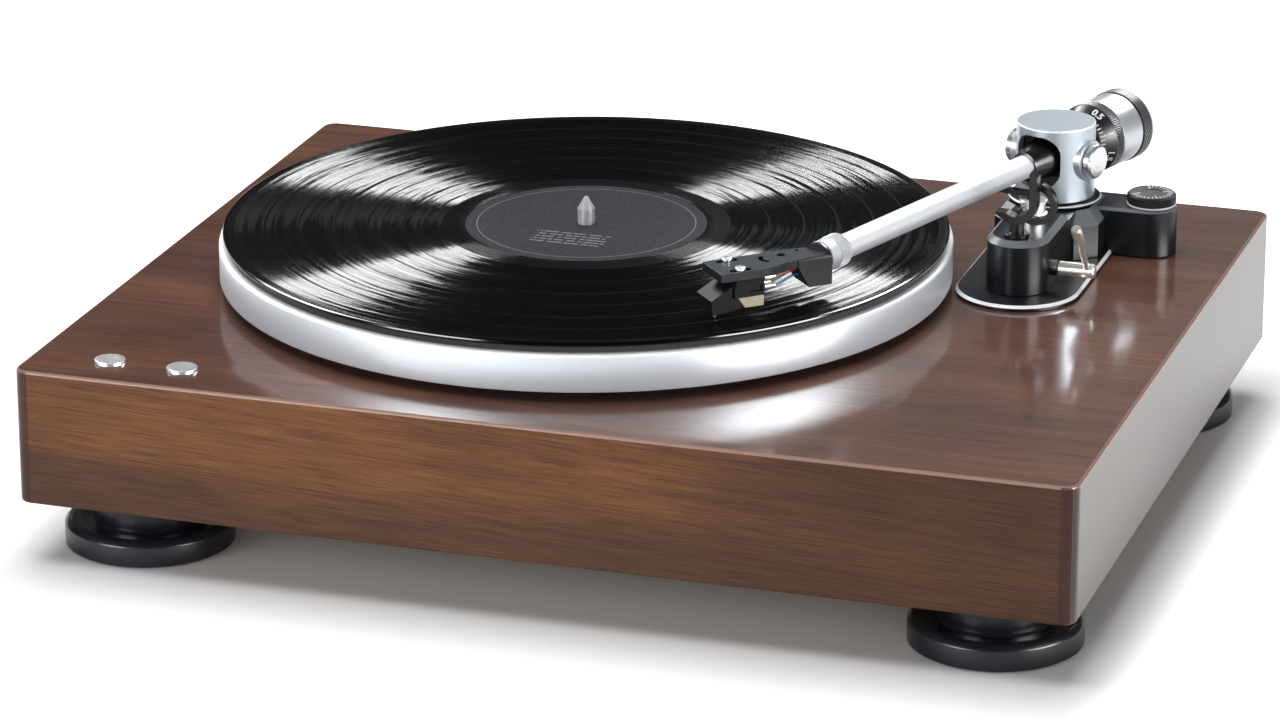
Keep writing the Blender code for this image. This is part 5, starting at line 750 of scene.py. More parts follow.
_, plate_bottom, plate_top = upright("arm_base_plate")
base_half, base_front, base_rear, base_corner, base_chamfer = 0.0259, 0.061, 0.030, 0.008, 0.0011
outline = arc((0, -base_front), base_half, math.pi, 2 * math.pi, 96)
outline += arc((base_half - base_corner, base_rear - base_corner), base_corner, 0, math.pi / 2, 16)
outline += arc((base_corner - base_half, base_rear - base_corner), base_corner, math.pi / 2, math.pi, 16)
plate_shape = rimmed(prism(outline, plate_bottom, plate_top), plate_top, base_chamfer)
bright_bevels(plate_shape, plate_top, 1.2 * base_chamfer)
settled("arm_base_plate_dressed", plate_shape, black_enamel, "chassis", ("arm_base_plate",),
        base_place, sharp=25.0, trim=bright_edge)

casting_bottom = plate_top + seat_gap
body_half, body_cut, body_taper, shoulder, body_top = 0.0224, 0.0084, 0.0047, 0.0985, 0.1045
lobe_half, lobe_front, lobe_top, lobe_chamfer, step_radius = 0.0131, 0.0615, 0.1078, 0.0024, 0.033
flat_half = body_half - body_cut
octagon = [(-flat_half, -body_half), (flat_half, -body_half), (body_half, -flat_half), (body_half, flat_half),
           (flat_half, body_half), (-flat_half, body_half), (-body_half, flat_half), (-body_half, -flat_half)]
walls = prism(octagon, casting_bottom, shoulder)
shoulders = prism(octagon, shoulder - 1e-5, body_top, (body_half - body_taper) / body_half)
nose = arc((0, -lobe_front), lobe_half, math.pi, 2 * math.pi, 64) + [(lobe_half, 0), (-lobe_half, 0)]
lobe = rimmed(prism(nose, casting_bottom, lobe_top), lobe_top, lobe_chamfer)
lobe = carved(lobe, cutters=[rod(step_radius, body_top, lobe_top + overrun, 96)])
rigger_x, rigger_y, rigger_radius, rigger_top, rigger_chamfer = 0.0400, 0.0078, 0.0109, 0.1030, 0.0012
rigger_gap, plate_slack = 0.0004, 1.012
run = arc((rigger_x, rigger_y), rigger_radius, -math.pi / 2, math.pi / 2, 48)
run += [(0, rigger_y + rigger_radius), (0, rigger_y - rigger_radius)]
rigger = rimmed(prism(run, plate_bottom + rigger_gap, rigger_top), rigger_top, rigger_chamfer)
plate_room = prism([(x * plate_slack, y * plate_slack) for x, y in outline], plate_bottom - overrun,
                   casting_bottom)
rigger = carved(rigger, cutters=[plate_room])
cue_y, cue_height, cue_boss_radius, cue_boss_end = -0.0575, 0.093, 0.0034, lobe_half + 0.0028
cue_boss = moved(rod(cue_boss_radius, lobe_half - overrun, cue_boss_end, 48),
                 Matrix.Translation((0, cue_y, cue_height)) @ rightward)
rest_x, lift_radius, lift_bore = -0.0001, 0.0375, 0.0027
lift_hole = rod(lift_bore, shoulder, lobe_top + overrun, 32, rest_x, -lift_radius)
casting = carved(walls, joined=[shoulders, lobe, rigger, cue_boss], cutters=[lift_hole])
# The slanted faces take the painted reflection.
bright_bevels(casting, lobe_top, lobe_top - casting_bottom)
settled("arm_base_casting_dressed", casting, black_enamel, "chassis", ("arm_base_casting",),
        base_place, sharp=20.0, edge=0.00022, trim=casting_sheen)

_, collar_bottom, collar_top = upright("pivot_collar")
collar_radius, collar_bore, collar_edge, shaft_bore = 0.0196, 0.0043, 0.0005, 0.0043
profile = [(collar_bore, collar_bottom), (collar_radius - 1.2 * collar_edge, collar_bottom),
           (collar_radius, collar_bottom + collar_edge), (collar_radius, collar_top - collar_edge),
           (collar_radius - collar_edge, collar_top), (collar_bore, collar_top)]
lobe_room = block((-lobe_half, -lobe_front, collar_bottom - overrun),
                  (lobe_half, seat_gap - step_radius, collar_top + overrun))
collar = carved(turned(profile, 128, closed=True), cutters=[lobe_room])
bright_bevels(collar, collar_top, 1.4 * collar_edge)
settled("pivot_collar_dressed", collar, black_enamel, "chassis", ("pivot_collar",),
        base_place, sharp=25.0, trim=bright_edge)

# Anti-skate dial
# A black moulded knob with a fine knurl, which turns on the outrigger over a thin bright washer. Its scale
# is printed on the top in white.
def ribbed(shape, ribs, low, high, crest, depth):
    """Presses every second column of a round wall's points inwards between two heights."""
    column = math.pi / ribs
    for point in shape.verts:
        radius = math.hypot(point.co.x, point.co.y)
        if low < point.co.z < high and radius > crest - depth:
            if round(math.atan2(point.co.y, point.co.x) / column) % 2:
                point.co.x *= (radius - depth) / radius
                point.co.y *= (radius - depth) / radius
    return shape


def printed(words, size):
    """Flat letters about their own middle, as a mesh."""
    letters = bpy.data.curves.new("letters", "FONT")
    letters.body = words
    letters.size = size
    letters.align_x = "CENTER"
    letters.align_y = "CENTER"
    letters.extrude = 0.00004
    letters.offset = size * 0.02
    letters.resolution_u = 4
    carrier = bpy.data.objects.new("letters", letters)
    bpy.context.scene.collection.objects.link(carrier)
    shape = bmesh.new()
    shape.from_mesh(carrier.evaluated_get(bpy.context.evaluated_depsgraph_get()).to_mesh())
    bpy.data.objects.remove(carrier, do_unlink=True)
    bmesh.ops.remove_doubles(shape, verts=shape.verts, dist=1e-7)
    return shape


def gathered(shapes):
    """Puts several shapes into one."""
    whole = bmesh.new()
    for shape in shapes:
        carrier = bpy.data.meshes.new("carrier")
        shape.to_mesh(carrier)
        shape.free()
        whole.from_mesh(carrier)
        bpy.data.meshes.remove(carrier)
    return whole


knob_middle = (pivot.x + rigger_x, pivot.y + rigger_y, 0.0)
knob_place = Matrix.Translation(knob_middle)
knob_radius, knob_dip, knob_dish, knob_land = 0.0104, 0.0003, 0.0042, 0.0046
knob_ribs, knob_rib_depth = 110, 0.0003
washer_bottom, washer_bore, washer_thickness = rigger_top + seat_gap, 0.003, 0.0005
knob_foot, knob_wall = washer_bottom + 0.0006, knob_radius - 0.0001
_, _, knob_top = upright("anti_skate_knob")
knob_black = Finish("knob_black", (0.010, 0.010, 0.012), 0.38, specular_ior_level=0.5)
# Painted shade in the knurl's grooves, painted highlight on its crests.
knob_black.knurl_painted_light(knob_middle, (0, 0, 1), knob_wall, (0.006, 0.006, 0.007), (0.030, 0.031, 0.034))
knob_black.grained(3200.0, 0.00002, 0.2)
profile = [(0.0, knob_top - knob_dip), (knob_dish, knob_top - knob_dip), (knob_land, knob_top),
           (knob_radius - 0.0009, knob_top), (knob_radius - 0.0002, knob_top - 0.0006),
           (knob_wall, knob_top - 0.0007), (knob_wall, knob_foot + 0.0004),
           (knob_wall - 0.0003, knob_foot + 0.0001), (knob_wall - 0.0003, knob_foot), (0.0, knob_foot)]
knob_shape = ribbed(turned(profile, 2 * knob_ribs), knob_ribs, knob_foot + 0.0003, knob_top - 0.00065,
                    knob_wall, knob_rib_depth)
settled("anti_skate_dial", knob_shape, knob_black, "anti_skate", ("anti_skate_knob",),
        knob_place)
washer = turned([(washer_bore, washer_bottom), (knob_radius, washer_bottom),
                 (knob_radius, washer_bottom + washer_thickness),
                 (washer_bore, washer_bottom + washer_thickness)], 96, closed=True)
settled("anti_skate_washer", washer, bright_edge, "anti_skate", (), knob_place)
white_print = Finish("white_print", (0.80, 0.81, 0.82), 0.6).grained(4000.0, 0.00001, 0.1)
mark_half, mark_height, mark_sunk, marks_end = 0.00017, 0.00005, 0.00002, 0.0088
long_start, short_start, numbers_at, number_size = 0.0064, 0.0070, 0.0057, 0.0022
mark_count, first_mark, mark_turn = 22, -150, 12.5
marks = []
for step in range(mark_count):
    long_mark = step % 7 == 0
    turn = math.radians(first_mark + step * mark_turn)
    marks_place = Matrix.Translation((0, 0, knob_top)) @ Matrix.Rotation(turn, 4, "Z")
    mark = block((long_start if long_mark else short_start, -mark_half, -mark_sunk),
                 (marks_end, mark_half, mark_height))
    marks.append(moved(mark, marks_place))
    if long_mark:
        number = moved(printed(str(step // 7), number_size),
                       Matrix.Translation((numbers_at, 0, 0)) @ Matrix.Rotation(math.radians(-90), 4, "Z"))
        marks.append(moved(number, marks_place))
settled("anti_skate_scale", gathered(marks), white_print, "anti_skate", (), knob_place)

# Arm rest and clip
# Gloss black mouldings: a hooked cradle for the parked arm, on a round post that stands on the lobe, and the
# curved clip that swings over the tube behind it.
gloss_black = Finish("gloss_black_moulding", (0.006, 0.006, 0.007), 0.26, specular_ior_level=0.5)
gloss_black.grained(900.0, 0.00003, 0.15)
rest_y, cradle_height, cradle_radius, cradle_wall, cradle_length = -0.0652, 0.1222, 0.0056, 0.0032, 0.0060
post_radius, post_foot, post_foot_radius, lip = 0.0030, lobe_top + seat_gap, 0.0052, math.radians(226)
cradle_outer, post_sunk = cradle_radius + cradle_wall, 0.0016
post_top = cradle_height - cradle_outer + post_sunk
profile = [(0.0, post_foot), (post_foot_radius, post_foot), (post_foot_radius, post_foot + 0.0009),
           (post_foot_radius - 0.0003, post_foot + 0.0012), (post_radius + 0.0004, post_foot + 0.0012),
           (post_radius, post_foot + 0.0016), (post_radius, post_top), (0.0, post_top)]
post = moved(turned(profile, 64), Matrix.Translation((rest_x, rest_y, 0)))
hook = arc((0, 0), cradle_radius, lip, 2 * math.pi, 36)
hook += [(cradle_radius, 0.0136), (cradle_radius + 0.0010, 0.0139), (cradle_outer, 0.0119)]
hook += arc((0, 0), cradle_outer, 2 * math.pi, lip, 36)
hook += [(-0.0086, cradle_radius * math.sin(lip) - 0.0006), (-0.0083, cradle_radius * math.sin(lip))]
cradle = moved(prism(hook, -cradle_length / 2, cradle_length / 2),
               Matrix.Translation((rest_x, rest_y, cradle_height)) @ forward)
settled("arm_rest_dressed", carved(post, joined=[cradle]), gloss_black, "chassis",
        ("arm_rest",), base_place, sharp=30.0, edge=0.0003)
clip_outer, clip_inner, clip_length, clip_hub = 0.0090, 0.0062, 0.004, 0.0022
clip_start, clip_end = math.radians(-140), math.radians(74)
clip_x, clip_z = rest_x + 0.0067, cradle_height - 0.0014
clip_y = rest_y + cradle_length / 2 + seat_gap + clip_length / 2
clip_middle = (clip_outer + clip_inner) / 2
bow = arc((0, 0), clip_outer, clip_start, clip_end, 64) + arc((0, 0), clip_inner, clip_end, clip_start, 64)
hub = rod(clip_hub, -clip_length / 2, clip_length / 2, 40, clip_middle * math.cos(clip_start),
          clip_middle * math.sin(clip_start))
clip_shape = carved(prism(bow, -clip_length / 2, clip_length / 2), joined=[hub])
settled("rest_clip_dressed", clip_shape, gloss_black, "clip", ("rest_clip",),
        base_place @ Matrix.Translation((clip_x, clip_y, clip_z)) @ forward, sharp=30.0, edge=0.0004)

# Cueing lift
# A polished turned barrel on the lobe. Its piston carries the black curved bar that lifts the arm from
# below.
barrel_length, barrel_foot, barrel_waist, barrel_lip = 0.0072, 0.0060, 0.0052, 0.0058
barrel_bottom = lobe_top + seat_gap
barrel_top = barrel_bottom + barrel_length
profile = [(lift_bore, barrel_bottom), (barrel_foot, barrel_bottom), (barrel_foot, barrel_bottom + 0.0015),
           (barrel_waist, barrel_bottom + 0.0019), (barrel_waist, barrel_top - 0.0016),
           (barrel_lip, barrel_top - 0.0012), (barrel_lip, barrel_top - 0.0004),
           (barrel_lip - 0.0004, barrel_top), (lift_bore, barrel_top)]
settled("lift_barrel_dressed", turned(profile, 96, closed=True), polished, "chassis",
        ("lift_barrel",), base_place @ Matrix.Translation((rest_x, -lift_radius, 0)), sharp=28.0)
tube_radius, bar_thickness, bar_half, piston_radius, piston_bottom = 0.005, 0.0022, 0.0016, 0.0024, 0.0995
bar_high = pivot.z - tube_radius - seat_gap
bar_low = bar_high - bar_thickness
bar_start, bar_end = math.radians(-138), math.radians(-87)
bar_outline = arc((0, 0), lift_radius + bar_half, bar_start, bar_end, 48)
bar_outline += arc((0, 0), lift_radius - bar_half, bar_end, bar_start, 48)
piston = rod(piston_radius, piston_bottom, bar_high - 0.0004, 40, rest_x, -lift_radius)
settled("lift_bar_dressed", carved(prism(bar_outline, bar_low, bar_high), joined=[piston]), gloss_black,
        "lift", ("lift_bar",), base_place, sharp=30.0, edge=0.0004)

# Cueing lever
# Turned metal in a champagne silver: a thick shaft out of the casting's right side, and set across it a
# slim rod that ends in a thicker grip.
champagne = Finish("champagne_silver", (0.76, 0.73, 0.68), 0.28, 0.75).grained(2200.0, 0.00003, 0.2)
lever_place = base_place @ Matrix.Translation((0, cue_y, cue_height))
lever_length, lever_radius, lever_pin, pin_start = 0.0155, 0.0030, 0.0018, -0.0010
lever_start = cue_boss_end + seat_gap
lever_end = lever_start + lever_length
profile = [(0.0, lever_end - 0.0002), (0.0021, lever_end), (0.0026, lever_end - 0.0002),
           (lever_radius, lever_end - 0.0007), (lever_radius, lever_start + 0.0004),
           (lever_radius - 0.0003, lever_start), (lever_pin, lever_start), (lever_pin, pin_start),
           (0.0, pin_start)]
settled("cue_shaft_dressed", turned(profile, 64), champagne, "cue_lever",
        ("cue_shaft",), lever_place @ rightward)
rod_radius, rod_start, rod_end = 0.0013, 0.0028, 0.0214
grip_radius, grip_start, grip_end, grip_seat, grip_turn = 0.0022, 0.0236, 0.0343, 0.0034, 42
grip_place = lever_place @ Matrix.Translation((lever_end - grip_seat, 0, 0))
profile = [(0.0, rod_start), (rod_radius, rod_start), (rod_radius, rod_end),
           (rod_radius + 0.0004, rod_end + 0.0008), (grip_radius - 0.00015, grip_start - 0.0008),
           (grip_radius, grip_start),
           (grip_radius, grip_end - 0.0017), (grip_radius - 0.0002, grip_end - 0.0008),
           (grip_radius - 0.0007, grip_end - 0.0001), (0.0008, grip_end), (0.0, grip_end)]
settled("cue_grip_dressed", turned(profile, 64), champagne, "cue_lever", ("cue_grip",),
        grip_place @ Matrix.Rotation(math.radians(grip_turn), 4, "X"))

# Bearing housing
# A satin aluminium drum that swings with the arm, open at front and back, with a thin black liner inside
# as painted shade. A turned cap closes the bearing on each side.
housing_silver = Finish("housing_satin", (0.50, 0.56, 0.61), 0.30, 0.6)
grain_place = housing_silver.stretched(housing_silver.place(), (180.0, 180.0, 5200.0))
housing_silver.bump(housing_silver.noise(grain_place, 1.0), 0.00002, 0.25)
yaw = Matrix.Translation(pivot) @ Matrix.Rotation(math.radians(-19), 4, "Z")
drum, drum_wall, drum_floor, drum_low, drum_high = 0.01665, 0.0028, 0.0024, 0.0174, 0.0144
boss_radius, boss_reach, bearing_bore, rim_chamfer = 0.00875, 0.0176, 0.0049, 0.0004
window_start, front_window, rear_window = 0.005, (0.0212, 0.0226, 0.0078), (0.0165, 0.0170, 0.006)


def window(width, height, corner, near, far):
    """A round-cornered block that runs forward between two distances."""
    right, top = width / 2 - corner, height / 2 - corner
    outline = []
    for quarter, (x, y) in enumerate(((right, top), (-right, top), (-right, -top), (right, -top))):
        outline += arc((x, y), corner, quarter * math.pi / 2, (quarter + 1) * math.pi / 2, 12)
    return moved(prism(outline, near, far), forward)


profile = [(0.0, drum_high), (drum - 0.0007, drum_high), (drum - 0.0003, drum_high - 0.0001),
           (drum - 0.0001, drum_high - 0.0003), (drum, drum_high - 0.0007), (drum, rim_chamfer - drum_low),
           (drum - rim_chamfer, -drum_low), (shaft_bore, -drum_low), (shaft_bore, drum_floor - drum_low),
           (drum - drum_wall, drum_floor - drum_low), (drum - drum_wall, drum_high - drum_floor),
           (0.0, drum_high - drum_floor)]
bosses, bores = [], []
for side in (rightward, leftward):
    boss = rod(boss_radius, drum - drum_wall - 0.0006, boss_reach, 72)
    bosses.append(moved(rimmed(boss, boss_reach, rim_chamfer), side))
    bores.append(moved(rod(bearing_bore, window_start, boss_reach + overrun, 48), side))
windows = [window(*front_window, window_start, drum + overrun),
           window(*rear_window, -drum - overrun, -window_start)]
drum_shape = carved(turned(profile, 112), joined=bosses, cutters=windows + bores)
bright_bevels(drum_shape, drum_high, 0.0009)
settled("bearing_housing_dressed", drum_shape, housing_silver, "arm_carriage",
        ("bearing_housing",), yaw, sharp=28.0, edge=0.00012, trim=bright_edge)

# Painted shade: a thin black liner lines the drum's hollow.
liner_gap, liner_thickness, liner_bore = 0.0002, 0.0002, 0.0045
drum_shade = Finish("housing_inside_shade", (0.008, 0.008, 0.009), 0.6).grained(2000.0, 0.00004, 0.3)
liner_radius = drum - drum_wall - 0.0001
liner_low, liner_high = drum_floor + liner_gap - drum_low, drum_high - drum_floor - liner_gap
liner_floor, liner_ceiling = liner_low + liner_thickness, liner_high - liner_thickness
profile = [(liner_bore, liner_low), (liner_radius, liner_low), (liner_radius, liner_high), (0.0, liner_high),
           (0.0, liner_ceiling), (liner_radius - liner_thickness, liner_ceiling),
           (liner_radius - liner_thickness, liner_floor), (liner_bore, liner_floor)]
liner_front, liner_rear, liner_side = (0.0220, 0.0234, 0.0080), (0.0173, 0.0178, 0.0062), 0.0052
openings = [window(*liner_front, window_start, drum + overrun), window(*liner_rear, -drum, -window_start)]
for side in (rightward, leftward):
    openings.append(moved(rod(liner_side, window_start, boss_reach + overrun, 48), side))
settled("housing_inside_shade", carved(turned(profile, 96, closed=True), cutters=openings), drum_shade,
        "arm_carriage", (), yaw)

cap_radius, cap_height, cap_edge = 0.0073, 0.0036, 0.0003
race_radius, race_depth, race_bore, pin_depth = 0.0046, 0.0075, 0.0019, 0.0045
cap_seat = boss_reach + seat_gap
cap_face = cap_seat + cap_height
profile = [(0.0, cap_face - cap_edge), (0.0010, cap_face - cap_edge), (0.0058, cap_face),
           (0.0064, cap_face - 0.0001), (0.0071, cap_face - 0.0007), (cap_radius, cap_face - 0.0010),
           (cap_radius, cap_seat + cap_edge), (cap_radius - cap_edge, cap_seat), (race_radius, cap_seat),
           (race_radius, cap_seat - race_depth), (race_bore, cap_seat - race_depth),
           (race_bore, cap_seat - pin_depth), (0.0, cap_seat - pin_depth)]
for side_name, side in (("left", leftward), ("right", rightward)):
    turned_cap = Finish(f"{side_name}_cap_turned_steel", (0.74, 0.76, 0.79), 0.22, 0.85)
    turned_cap.lathed(pivot, (yaw @ side).to_3x3() @ Vector((0, 0, 1)), 0.24, 0.00015)
    settled(f"bearing_cap_{side_name}_dressed", turned(profile, 96), turned_cap, "arm_carriage",
            (f"bearing_cap_{side_name}",), yaw @ side, sharp=25.0)
painted(polished, "arm_shaft")

# Arm yoke and tube
# The gloss black sleeve of the gimbal, and the pale satin tube that runs out of its tapered nose. The tube
# doesn't show in the gloss of the record and the platter.
sleeve_radius, sleeve_back, nose_start, nose_end = 0.0082, -0.0120, 0.0127, 0.0245
tube_bore, stub_bore, tube_wall, tube_start, tube_end = 0.0053, 0.0043, 0.0010, 0.0033, 0.1726
profile = [(stub_bore, sleeve_back), (sleeve_radius - 0.0008, sleeve_back),
           (sleeve_radius, sleeve_back + 0.0008), (sleeve_radius, nose_start - 0.0005),
           (sleeve_radius - 0.0002, nose_start),
           (0.0063, nose_end - 0.0009), (0.0060, nose_end - 0.0002), (tube_bore, nose_end),
           (tube_bore, tube_start - seat_gap), (stub_bore, tube_start - seat_gap)]
trunnion_radius, trunnion_start, trunnion_end = 0.0015, 0.0076, 0.0124
trunnions = [moved(rod(trunnion_radius, trunnion_start, trunnion_end, 24), side)
             for side in (rightward, leftward)]
sleeve = carved(moved(turned(profile, 80, closed=True), forward), joined=trunnions)
settled("arm_yoke_dressed", sleeve, gloss_black, "tonearm", ("arm_yoke",), yaw, sharp=30.0)
tube_satin = Finish("tube_pale_satin", (0.77, 0.80, 0.84), 0.42, 0.25).grained(2600.0, 0.00002, 0.2)
profile = [(tube_radius - tube_wall, tube_start), (tube_radius, tube_start), (tube_radius, tube_end - 0.0002),
           (tube_radius - 0.0002, tube_end), (tube_radius - tube_wall, tube_end)]
tube = settled("arm_tube_dressed", moved(turned(profile, 80, closed=True), forward), tube_satin, "tonearm",
               ("arm_tube",), yaw)
tube.visible_glossy = False
painted(polished, "rear_stub")

# Counterweight
# Turned steel between two black rings: in front the force dial with its printed numbers, behind it the grip
# with a knurl of small raised points and a thin bright rim.
painted(moulded, "weight_insert")
weight_steel = Finish("weight_turned_steel", (0.57, 0.61, 0.65), 0.34, 0.75).grained(1800.0, 0.00002, 0.25)
weight_bore, weight_radius, weight_edge, weight_hub = 0.0057, 0.01505, 0.0003, 0.0078
hub_front, weight_front, weight_back = 0.0225, 0.0308, 0.0453
profile = [(weight_bore, hub_front), (weight_hub, hub_front), (weight_hub, weight_front),
           (weight_radius - weight_edge, weight_front), (weight_radius, weight_front + weight_edge),
           (weight_radius, weight_back - weight_edge), (weight_radius - weight_edge, weight_back),
           (weight_bore, weight_back)]
settled("counterweight_dressed", moved(turned(profile, 128, closed=True), backward), weight_steel, "weight",
        ("counterweight",), yaw, sharp=28.0)

ring_front, ring_back, ring_crest, ring_inside = weight_back + seat_gap, 0.0530, 0.0156, 0.0149
knurl_rows, knurl_steps, knurl_depth = 7, 108, 0.0005
knurl_front = ring_front + 0.0006
knurl_length = ring_back - 0.0013 - knurl_front
profile = [(weight_bore, ring_front), (0.0150, ring_front), (0.0153, ring_front + 0.0003)]
profile += [(ring_crest, knurl_front + knurl_length * row / knurl_rows) for row in range(knurl_rows + 1)]
profile += [(0.0152, ring_back - 0.0010), (0.0152, ring_back - 0.0005), (ring_inside, ring_back),
            (0.0098, ring_back), (0.0090, ring_back - 0.0012), (weight_bore, ring_back - 0.0012)]
ring = turned(profile, knurl_steps, closed=True)
for point in ring.verts:
    radius = math.hypot(point.co.x, point.co.y)
    if radius > ring_crest - 1e-5:
        column = round(math.atan2(point.co.y, point.co.x) / (2 * math.pi / knurl_steps))
        row = round((point.co.z - knurl_front) / knurl_length * knurl_rows)
        if (column + row) % 2:
            point.co.x *= (radius - knurl_depth) / radius
            point.co.y *= (radius - knurl_depth) / radius
arm_way = yaw.to_3x3() @ Vector((0, 1, 0))
knurl_black = Finish("knurled_black", (0.055, 0.057, 0.062), 0.34, 0.3)
# Painted shade in the knurl's grooves, painted highlight on its crests.
knurl_black.knurl_painted_light(pivot, arm_way, ring_crest, (0.010, 0.011, 0.013), (0.26, 0.27, 0.29))
knurl_black.grained(3200.0, 0.00002, 0.2)
settled("grip_ring_knurled", moved(ring, backward), knurl_black, "weight",
        ("weight_grip_ring",), yaw, sharp=24.0)
bright_radius, bright_start, bright_end = 0.0155, ring_back - 0.0009, ring_back - 0.0004
rim = turned([(ring_inside, bright_start), (bright_radius, bright_start), (bright_radius, bright_end),
              (ring_inside, bright_end)], 128, closed=True)
settled("grip_ring_bright_rim", moved(rim, backward), bright_edge, "weight", (), yaw)

dial_front, dial_shoulder, dial_back, dial_bore, dial_edge = 0.0183, 0.0252, 0.0305, 0.0081, 0.0003
cone_low, cone_high, dial_radius, dial_ribs, dial_rib_depth = 0.0107, 0.0146, 0.01505, 96, 0.0004
profile = [(dial_bore, dial_front), (cone_low - dial_edge, dial_front), (cone_low, dial_front + dial_edge),
           (cone_high, dial_shoulder), (cone_high + 0.0001, dial_shoulder + 0.0002),
           (dial_radius, dial_shoulder + 0.0006), (dial_radius, dial_back - 0.0005),
           (dial_radius - 0.0003, dial_back - 0.0002), (dial_radius - 0.0005, dial_back),
           (dial_bore, dial_back)]
dial_shape = ribbed(turned(profile, 2 * dial_ribs, closed=True), dial_ribs, dial_shoulder + 0.0005,
                    dial_back - 0.0004, dial_radius, dial_rib_depth)
dial_black = Finish("dial_black", (0.010, 0.010, 0.012), 0.36, specular_ior_level=0.4)
# Painted shade in the knurl's grooves, painted highlight on its crests.
dial_black.knurl_painted_light(pivot, arm_way, dial_radius, (0.008, 0.008, 0.010), (0.16, 0.165, 0.175))
dial_black.grained(3200.0, 0.00002, 0.2)
settled("force_dial_dressed", moved(dial_shape, backward), dial_black, "dial",
        ("force_dial",), yaw)


def on_cone(shape, bearing, start):
    """Wraps flat marks onto the dial's cone: x runs round it and y outwards along the slope."""
    slope = math.atan2(cone_high - cone_low, dial_shoulder - dial_front)
    for point in shape.verts:
        along, lift = start + point.co.y, point.co.z
        radius = cone_low + along * math.sin(slope) + lift * math.cos(slope)
        behind = dial_front + along * math.cos(slope) - lift * math.sin(slope)
        turn = bearing - point.co.x / (cone_low + start * math.sin(slope))
        point.co = (radius * math.cos(turn), behind, radius * math.sin(turn))
    return shape


tick_half, tick_height, tick_start, long_tick, short_tick = 0.00017, 0.00006, 0.0005, 0.0030, 0.0020
numbers_start, figure_size, tick_count, first_tick, tick_turn = 0.0056, 0.0044, 33, 108.0, 8.6
marks = []
for step in range(tick_count):
    bearing = math.radians(first_tick - step * tick_turn)
    numbered = step % 5 == 0
    tick = block((-tick_half, 0, 0), (tick_half, long_tick if numbered else short_tick, tick_height))
    marks.append(on_cone(tick, bearing, tick_start))
    if numbered:
        marks.append(on_cone(printed(f"{step / 10:g}", figure_size), bearing, numbers_start))
settled("force_dial_numbers", gathered(marks), white_print, "dial", (), yaw)

# Locking collar
# A satin collar over the end of the tube, with a fine knurl at its back. Turned a little, it draws the
# headshell tight.
collar_satin = Finish("collar_satin", (0.52, 0.55, 0.58), 0.5, 0.2).grained(2400.0, 0.00002, 0.2)
lock_start, knurl_end, lock_end, lock_bore = 0.1594, 0.1658, 0.1723, 0.0053
lock_crest, lock_band, lock_neck, lock_ribs, lock_rib_depth = 0.0069, 0.0066, 0.0063, 72, 0.0004
profile = [(lock_bore, lock_start), (0.0065, lock_start), (lock_crest, lock_start + 0.0004),
           (lock_crest, knurl_end - 0.0004), (lock_band, knurl_end), (lock_neck, knurl_end + 0.0002),
           (lock_neck, knurl_end + 0.0007), (lock_band, knurl_end + 0.0010), (lock_band, lock_end - 0.0003),
           (lock_neck, lock_end), (lock_bore, lock_end)]
lock = ribbed(turned(profile, 2 * lock_ribs, closed=True), lock_ribs, lock_start + 0.0003,
              knurl_end - 0.0002, lock_crest, lock_rib_depth)
settled("locking_collar_dressed", moved(lock, forward), collar_satin, "head_lock",
        ("locking_collar",), yaw, sharp=28.0)

# Headshell
# Dark anodised plate, greyer on its top where the light falls, with two slots, a curved slot and two holes.
# Its deep block ends in a black plug that goes into the arm tube.
head = yaw @ Matrix.Translation((0, -0.1814, 0)) @ Matrix.Rotation(math.radians(-29), 4, "Z")
head = head @ Matrix.Translation((0, -0.0318, 0))
to_arm = head.inverted() @ yaw
sideways = Matrix.Rotation(math.radians(90), 4, "Z") @ forward
head_grey = Finish("headshell_grey", (0.016, 0.019, 0.024), 0.38, 0.05, specular_ior_level=0.2)
facing_up = head_grey.axes(head_grey.facing())[2].between(0.6, 0.9)
head_grey.feed("Base Color", head_grey.mix(facing_up, (0.011, 0.012, 0.015), (0.040, 0.047, 0.056)))
head_grey.grained(3000.0, 0.00002, 0.25)
head_top, head_low, head_middle, head_half, head_front = 0.0034, -0.0001, -0.0006, 0.009, -0.0094
head_waist, head_left_rear, screw_offset, head_through = 0.0095, -0.0101, 0.00635, 0.005
head_block_front, head_block_slant, head_block_low, head_block_right = 0.0262, 0.0309, -0.0086, 0.0043


def to_head(x, y):
    """Where a point given in the arm's frame lies in the head's."""
    place = to_arm @ Vector((x, y, 0))
    return place.x, place.y


right_rear, left_rear = to_head(tube_radius, -tube_end - 0.0011), to_head(-0.0066, -tube_end - 0.0011)
plate = [(head_middle - head_half, head_front), (head_middle + head_half, head_front),
         (head_middle + head_half, head_waist), (head_middle + 0.9 * head_half, 0.0140), (0.0049, 0.0207),
         right_rear, left_rear, (head_left_rear, head_block_front)]
side_view = [(head_block_front, head_top - 0.0006), (head_block_front, head_low),
             (head_block_slant, head_block_low), (right_rear[1], head_block_low),
             (right_rear[1], head_top - 0.0006)]
rear_block = moved(prism(side_view, head_left_rear, head_block_right), sideways)
slot_width, slot_length, slot_corner = 0.0029, 0.0095, 0.00142
screw_slots = []
for sign in (-1, 1):
    slot = window(slot_width, slot_length, slot_corner, -head_through, head_through)
    slot_place = Matrix.Translation((head_middle + sign * screw_offset, 0, 0))
    screw_slots.append(moved(slot, slot_place @ forward))
bow_middle, bow_outer, bow_inner = (head_middle - 0.0020, head_waist + 0.0072), 0.0046, 0.0026
bow_start, bow_end = math.radians(207), math.radians(333)
bow = arc(bow_middle, bow_outer, bow_start, bow_end, 24) + arc(bow_middle, bow_inner, bow_end, bow_start, 24)
hole_radius, hole_x, hole_y = 0.0019, -0.0049, 0.0226
dowel_radius, dowel_x, dowel_y, dowel_floor = 0.0010, -0.0076, 0.0309, 0.0016
